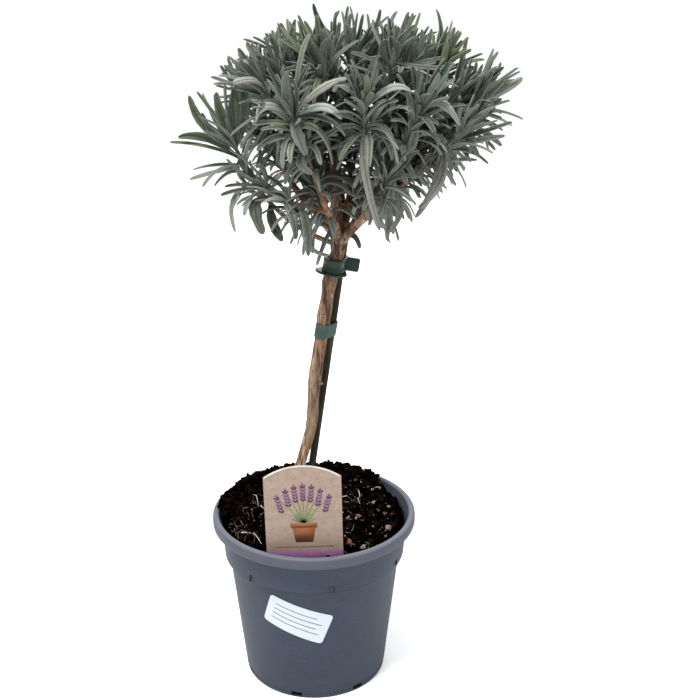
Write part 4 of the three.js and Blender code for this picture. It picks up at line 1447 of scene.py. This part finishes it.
# %% Bands
tie_feet = [at_height(TRUNK_LINE, tie["height"]) for tie in (UPPER_TIE, LOWER_TIE)]
tie_turn = UP.rotation_difference(unit(tie_feet[0] - tie_feet[1]))


def on_tie(tie, x, y, z):
    """A point given in the tie's own frame, square to the stem's lean."""
    return at_height(TRUNK_LINE, tie["height"]) + tie_turn @ vec(x, y, z)


def hoop(shape, tie, section, reach=lambda point, away: point + away):
    """A closed band. `section` lists (out, up) for the corners of its cross-section: out is 0 on the
    strap's inner outline and 1 at `reach`, which is a millimetre out unless a rule is given."""
    inner, points, faces = strap_outline(tie), [], []
    count, n = len(inner), len(section)
    for i, point in enumerate(inner):
        ahead, behind = inner[(i + 1) % count], inner[i - 1]
        away = Vector((ahead.y - behind.y, behind.x - ahead.x)).normalized()
        edge = reach(point, away)
        for out, up in section:
            spot = point + (edge - point) * out
            points.append(on_tie(tie, spot.x, spot.y, up))
        for k in range(n):
            here, there, up = i * n, (i + 1) % count * n, (k + 1) % n
            faces.append((here + k, there + k, there + up, here + up))
    shape.lump(points, faces)


def rounded_box(low_out, high_out, low_up, high_up, soft):
    """A cross-section with softened corners."""
    section = []
    corners = [(high_out, low_up), (high_out, high_up), (low_out, high_up), (low_out, low_up)]
    for i, (out, up) in enumerate(corners):
        out += soft if out == low_out else -soft
        up += soft if up == low_up else -soft
        for degrees in (0, 30, 60, 90):
            c, s = spin(90 * i - 90 + degrees)
            section.append((out + soft * c, up + soft * s))
    return section


print("the ties lean by", round(math.degrees(tie_turn.angle), 1), "degrees")


# %% Flat pieces
def inset(outline, amount):
    """Moves each corner of a flat outline inwards."""
    moved = []
    for i, (x, y) in enumerate(outline):
        (ax, ay), (bx, by) = outline[i - 1], outline[(i + 1) % len(outline)]
        length = math.hypot(bx - ax, by - ay) or 1
        moved.append((x - amount * (by - ay) / length, y + amount * (bx - ax) / length))
    return moved


def plate(shape, outline, thick, soft, put, **marks):
    """A flat piece with softened edges. `put` gives the place of a point of the outline at a depth."""
    half = thick / 2
    layers = [(outline, -half), (outline, half)]
    if soft:
        small = inset(outline, soft)
        layers = [(small, -half), (outline, soft - half), (outline, half - soft), (small, half)]
    shape.ring_run([[put(x, y, depth) for x, y in points] for points, depth in layers], **marks)


def rounded_rectangle(width, height, corner):
    right, top, points = width / 2 - corner, height / 2 - corner, []
    for i, (sx, sy) in enumerate([(1, -1), (1, 1), (-1, 1), (-1, -1)]):
        for c, s in map(spin, evenly(90 * i - 90, 90 * i, 6)):
            points.append((sx * right + corner * c, sy * top + corner * s))
    return points


print("points round a rounded rectangle:", len(rounded_rectangle(9, 9, 1)))

# %% [markdown]
# Both ties are green. The moulded one is nearly black, smooth and scratched, with painted teal
# highlights along the scratches, and the tape is paler, with a fine weave that catches the light.


# %% Tie finishes
def moulded_finish():
    finish = Finish("tie_moulded", Specular_IOR_Level=0.2)
    cloud = finish.cloud(150, 4)
    scratch_and_highlight = finish.cloud(300, 5, 0.7, finish.stretch((1, 1, 4)))
    green = finish.coats(
        finish.blend(cloud.between(0.35, 0.65), (0.0035, 0.013, 0.0085), (0.0075, 0.02, 0.0135)),
        # pale scratches, tinted teal as painted highlights
        (scratch_and_highlight.between(0.6, 0.75) * 0.5, (0.03, 0.075, 0.07)),
    )
    finish.set(Base_Color=green, Roughness=0.3 + 0.25 * cloud)
    finish.bump(0.6 * cloud + 0.4 * scratch_and_highlight, 0.3, 0.6)
    return finish.material


def tape_finish():
    finish = Finish("tie_tape", Specular_IOR_Level=0.3)
    cloud = finish.cloud(110, 4)
    weave = finish.cloud(900, 3, 0.6, finish.stretch((1, 1, 0.5)))
    green = finish.coats(
        finish.blend(cloud.between(0.3, 0.7), (0.019, 0.037, 0.028), (0.034, 0.056, 0.045)),
        (weave.between(0.55, 0.7) * 0.35, (0.1, 0.125, 0.112)),
    )
    finish.set(Base_Color=green, Roughness=0.62 + 0.2 * weave)
    finish.bump(weave, 0.2, 0.6)
    return finish.material


print("the ties have a finish each")

# %% Upper tie
FLANGE = dict(across=10.5, deep=8, centre=-0.6)
FLANGE_CUT = [(-0.12, 0), (0.86, 0), (0.96, 0.2), (1, 0.7), (0.98, 1.2), (0.9, 1.5)]
FLANGE_CUT += [(0.8, 1.6), (-0.12, 1.45)]
BAND_GROOVE = [(1.2, -1.6), (1.0, -1.35), (1.0, 2.5), (1.2, 2.75)]


def flange_edge(point, away):
    """Where a ray from the trunk meets the flange's oval, or the strap where that reaches farther."""
    way, centre = point.normalized(), FLANGE["centre"]
    wide, deep = FLANGE["across"] ** 2, FLANGE["deep"] ** 2
    a = way.x**2 / wide + way.y**2 / deep
    b = -2 * centre * (way.x / wide + way.y / deep)
    c = centre**2 / wide + centre**2 / deep - 1
    oval = (math.sqrt(b * b - 4 * a * c) - b) / (2 * a)
    return way * max(oval, (point + away * (UPPER_TIE["thick"] + 0.1)).length)


def on_tab(x, y, depth):
    """A place on the strap's free end."""
    return on_tie(UPPER_TIE, 12.6 + x, 8.4 - depth, 0.2 + y)


upper_tie, half_band = Shape(), BAND / 2
band_section = rounded_box(-0.75, UPPER_TIE["thick"], -half_band, half_band, 0.35)
band_section[4:4] = BAND_GROOVE
hoop(upper_tie, UPPER_TIE, band_section)
hoop(upper_tie, UPPER_TIE, [(out, up - half_band) for out, up in FLANGE_CUT], flange_edge)
plate(upper_tie, rounded_rectangle(9, 9.2, 1.5), 1.6, 0.3, on_tab)
plate(upper_tie, rounded_rectangle(4.4, 5.6, 0.8), 1.9, 0.2, lambda x, y, depth: on_tab(x + 1, y, depth))
upper_tie.piece("upper_tie_collar", moulded_finish(), "tie_moulded", "upper_tie", crease=45)
print("upper tie at", UPPER_TIE["height"], "mm")

# %% Lower tie
lower_tie = Shape()
hoop(lower_tie, LOWER_TIE, rounded_box(-0.3, LOWER_TIE["thick"], -TAPE / 2, TAPE / 2, 0.12))
lower_tie.piece("lower_tie_tape", tape_finish(), "tie_tape", "lower_tie", crease=45)
print("lower tie at", LOWER_TIE["height"], "mm")

# %% [markdown]
# ## The plant label
#
# The card is pressed from brown kraft board with an arched top and a pointed foot that stands in the
# soil. Its print here is a plain one: a clay pot of lavender over a purple band. The print is made of
# thin shapes just above the card, so its edges stay crisp in a close view. Painting it into the
# card's colour with nodes would need a picture or a long chain of maths.

# %% Card outline
LABEL = dict(width=50, shoulder=58, arch=8, buried=6, spike=40, spike_width=16, thick=0.8)
LABEL_PLACE, LABEL_ROLL = vec(-5, -51.5, 113), -1.3


def on_card(x, y, depth):
    """A point of the label: x and y on its face, depth towards the viewer."""
    c, s = spin(LABEL_ROLL)
    return LABEL_PLACE + vec(x * c + y * s, -depth, y * c - x * s)


def arch_points(half, rise):
    """The arched top, from the right shoulder to the left."""
    radius = (half**2 + rise**2) / (2 * rise)
    sweep = math.asin(half / radius)
    top = LABEL["shoulder"] + LABEL["arch"] - radius
    return [(radius * math.sin(a), top + radius * math.cos(a)) for a in evenly(sweep, -sweep, 28)]


def card_outline():
    half, foot = LABEL["width"] / 2, LABEL["spike_width"] / 2
    low, tip = -LABEL["buried"], -LABEL["spike"]
    return [(-half, low), (-foot, tip), (foot, tip), (half, low)] + arch_points(half, LABEL["arch"])


print("points round the card:", len(card_outline()))


# %% Card
def kraft():
    finish = Finish("kraft_card", Roughness=0.85, Specular_IOR_Level=0.25)
    fibre = finish.cloud(260, 6, 0.7)
    flecks = finish.specks(330, 0.06, 0.13) * finish.cloud(50, 1).between(0.44, 0.5)
    card = finish.coats(
        finish.blend(fibre.between(0.3, 0.7), (0.195, 0.145, 0.112), (0.245, 0.186, 0.148)),
        (finish.specks(240, 0.05, 0.12) * 0.6, (0.36, 0.31, 0.26)),
        (flecks * 0.8, (0.085, 0.055, 0.035)),
    )
    finish.set(Base_Color=card)
    finish.bump(fibre, 0.08)
    return finish.material


card = Shape()
plate(card, card_outline(), LABEL["thick"], 0.1, on_card)
card.piece("label_card", kraft(), "label_card", "label", crease=40)
print("label:", LABEL["width"], "mm wide")

# %% Print helpers
INK_THICKNESS, INK_GAP = 0.06, 0.05


def ink(name, one, other):
    """A printing ink, with the card's fibres showing a little through it."""
    finish = Finish(name, Roughness=0.8, Specular_IOR_Level=0.25)
    fibre = finish.cloud(420, 5, 0.7).between(0.5, 0.75)
    colour = finish.blend(finish.mark("tone"), one, other)
    finish.set(Base_Color=finish.blend(fibre * 0.25, colour, (0.23, 0.175, 0.135)))
    return finish.material


def printed(shape, outline, tone=0.0, lift=0.0):
    """Adds a printed shape. One that lies over another has more lift."""
    face = LABEL["thick"] / 2 + INK_GAP + lift
    plate(shape, outline, INK_THICKNESS, 0, lambda x, y, depth: on_card(x, y, face + depth), tone=tone)


def oval(x, y, long, wide, degrees, count=14):
    """An oval's outline, with its long axis at an angle."""
    c, s = spin(degrees)
    turns = [FULL_TURN * i / count for i in range(count)]
    dots = [(long * math.cos(a), wide * math.sin(a)) for a in turns]
    return [(x + u * c - v * s, y + u * s + v * c) for u, v in dots]


def ribbon(points, width):
    """A line of some width as an outline."""
    right, left = [], []
    for i, (x, y) in enumerate(points):
        (ax, ay), (bx, by) = points[max(0, i - 1)], points[min(len(points) - 1, i + 1)]
        length = math.hypot(bx - ax, by - ay)
        dx, dy = width / 2 * (by - ay) / length, width / 2 * (bx - ax) / length
        right.append((x + dx, y - dy))
        left.append((x - dx, y + dy))
    return right + left[::-1]


print("printed shapes are", INK_THICKNESS, "mm thick")

# %% The drawing
INKS = {
    # the piece, with its ink and the two colours that its shapes lie between
    "label_print_green": ("green_ink", (0.055, 0.095, 0.032), (0.14, 0.19, 0.09)),
    "label_print_purple": ("purple_ink", (0.085, 0.022, 0.068), (0.15, 0.066, 0.15)),
    "label_print_rust": ("rust_ink", (0.14, 0.04, 0.015), (0.18, 0.062, 0.024)),
    "label_edge": ("white_edge", (0.4, 0.395, 0.38), (0.4, 0.395, 0.38)),
}
prints = {name: Shape() for name in INKS}
green, purple, rust, white = prints.values()

for k in range(-3, 4):
    tip_x, tip_y = 5.0 * k, 51 - 0.9 * k * k
    line = [(tip_x * t**1.4 + 0.6 * k, mix(24, tip_y, t)) for t in evenly(0, 1, 10)]
    printed(green, ribbon(line, 0.5), 0.3)
    end, lean = line[-1][0], math.degrees(math.atan2(tip_x * 0.6, 30))
    for j in range(5):
        down = (4 - j) * 2.3
        x, y = end - down * math.sin(math.radians(lean)), tip_y - down
        for side in (-1, 1):
            bud = oval(x + side * 0.95, y, 1.35, 0.72, 90 - lean - side * 38)
            printed(purple, bud, 0.25 * (j % 4), 0.04)
    printed(purple, oval(end, tip_y + 1.5, 1.3, 0.7, 90 - lean), 0.5, 0.05)
for k in range(-4, 5):
    angle = 90 - 17 * k
    c, s = spin(angle)
    printed(green, oval(4.2 * c, 25 + 4.2 * s, 4.4, 0.62, angle), 0.2 + 0.08 * (k + 4), 0.03)
print("printed so far:", len(green.faces) + len(purple.faces), "faces")

# %% Its pot, the band and the edge
printed(rust, [(-5.6, 11), (5.6, 11), (7.6, 22), (-7.6, 22)], 0.2)
printed(rust, [(-8.6, 21.6), (8.6, 21.6), (8.6, 25), (-8.6, 25)], 0.7, 0.06)
printed(rust, [(-19, 7.4), (19, 7.4), (19, 7.9), (-19, 7.9)], 0.3)
waves = [(x, 4.6 + 0.5 * math.sin(x * 0.42)) for x in evenly(24.4, -24.4, 40)]
printed(purple, [(-24.4, -5.5), (24.4, -5.5), *waves], 0.35)
arch = arch_points(LABEL["width"] / 2 - 0.15, LABEL["arch"])
printed(white, arch + [(x * 0.972, y - 0.85) for x, y in reversed(arch)])
for name, shape in prints.items():
    shape.piece(name, ink(*INKS[name]), "label_card")
print("inks on the card:", len(prints))

# %% [markdown]
# ## The sticker
#
# A white paper sticker, left blank but for grey ruled lines, is bent round the tapering wall. A flat
# piece would stand off the pot at its ends, so every point of it is placed by an angle round the pot
# and a height, and its distance out is the wall's own radius there plus the paper.

# %% Bending paper
STICKER = dict(width=44, height=24, arc=-11.3, level=66.6, turn=-19.6, corner=2.4)


def on_wall(x, y, lift):
    """A point of the sticker on the pot's wall, `lift` millimetres off it."""
    c, s = spin(STICKER["turn"])
    z = STICKER["level"] + x * s + y * c
    degrees = math.degrees((STICKER["arc"] + x * c - y * s) / wall_radius(STICKER["level"]))
    return round_pot(degrees, wall_radius(z) + lift, z)


def bent_paper(shape, low, high, left, right, lift, thick, corner=0.0):
    """A thin sheet bent round the wall, made of slices from left to right."""
    middle, half = (low + high) / 2, (high - low) / 2
    stations = [(x, half) for x in evenly(left + corner, right - corner, 40)]
    for c, s in map(spin, (75, 55, 35, 15, 4) if corner else ()):
        reach = half - corner * (1 - s)
        stations.append((right - corner * (1 - c), reach))
        stations.insert(0, (left + corner * (1 - c), reach))
    rings = []
    for x, reach in stations:
        ys = evenly(middle - reach, middle + reach, 14)
        outer, inner = ([on_wall(x, y, off) for y in ys] for off in (lift + thick, lift))
        rings.append(outer + inner[::-1])
    shape.ring_run(rings)


print("the sticker's middle is", round(on_wall(0, 0, 0).z, 1), "mm up")

# %% Sticker
RULED_LINES = [(6.5, 12), (2.5, 17), (-1.5, 14), (-5.5, 17)]  # height and right end of each


def paper_finish(name, colour, fleck):
    finish = Finish(name, Roughness=0.5, Specular_IOR_Level=0.4)
    cloud = finish.cloud(80, 4)
    finish.set(Base_Color=finish.blend(cloud.between(0.45, 0.75) * 0.5, colour, fleck))
    finish.bump(cloud, 0.15, 0.5)
    return finish.material


sticker, lines = Shape(), Shape()
half_width, half_height = STICKER["width"] / 2, STICKER["height"] / 2
bent_paper(sticker, -half_height, half_height, -half_width, half_width, 0.12, 0.22, STICKER["corner"])
for y, right in RULED_LINES:
    bent_paper(lines, y - 0.3, y + 0.3, -17, right, 0.345, 0.03)
paper = paper_finish("sticker_white", (0.39, 0.43, 0.47), (0.34, 0.375, 0.41))
sticker.piece("sticker_paper", paper, "sticker_paper", "sticker", crease=40)
grey = paper_finish("grey_ink", (0.07, 0.075, 0.08), (0.12, 0.125, 0.13))
lines.piece("sticker_lines", grey, "sticker_paper")
print("sticker:", STICKER["width"], "by", STICKER["height"], "mm")

# %% [markdown]
# The dressed plant has to stay inside the plain model's box.
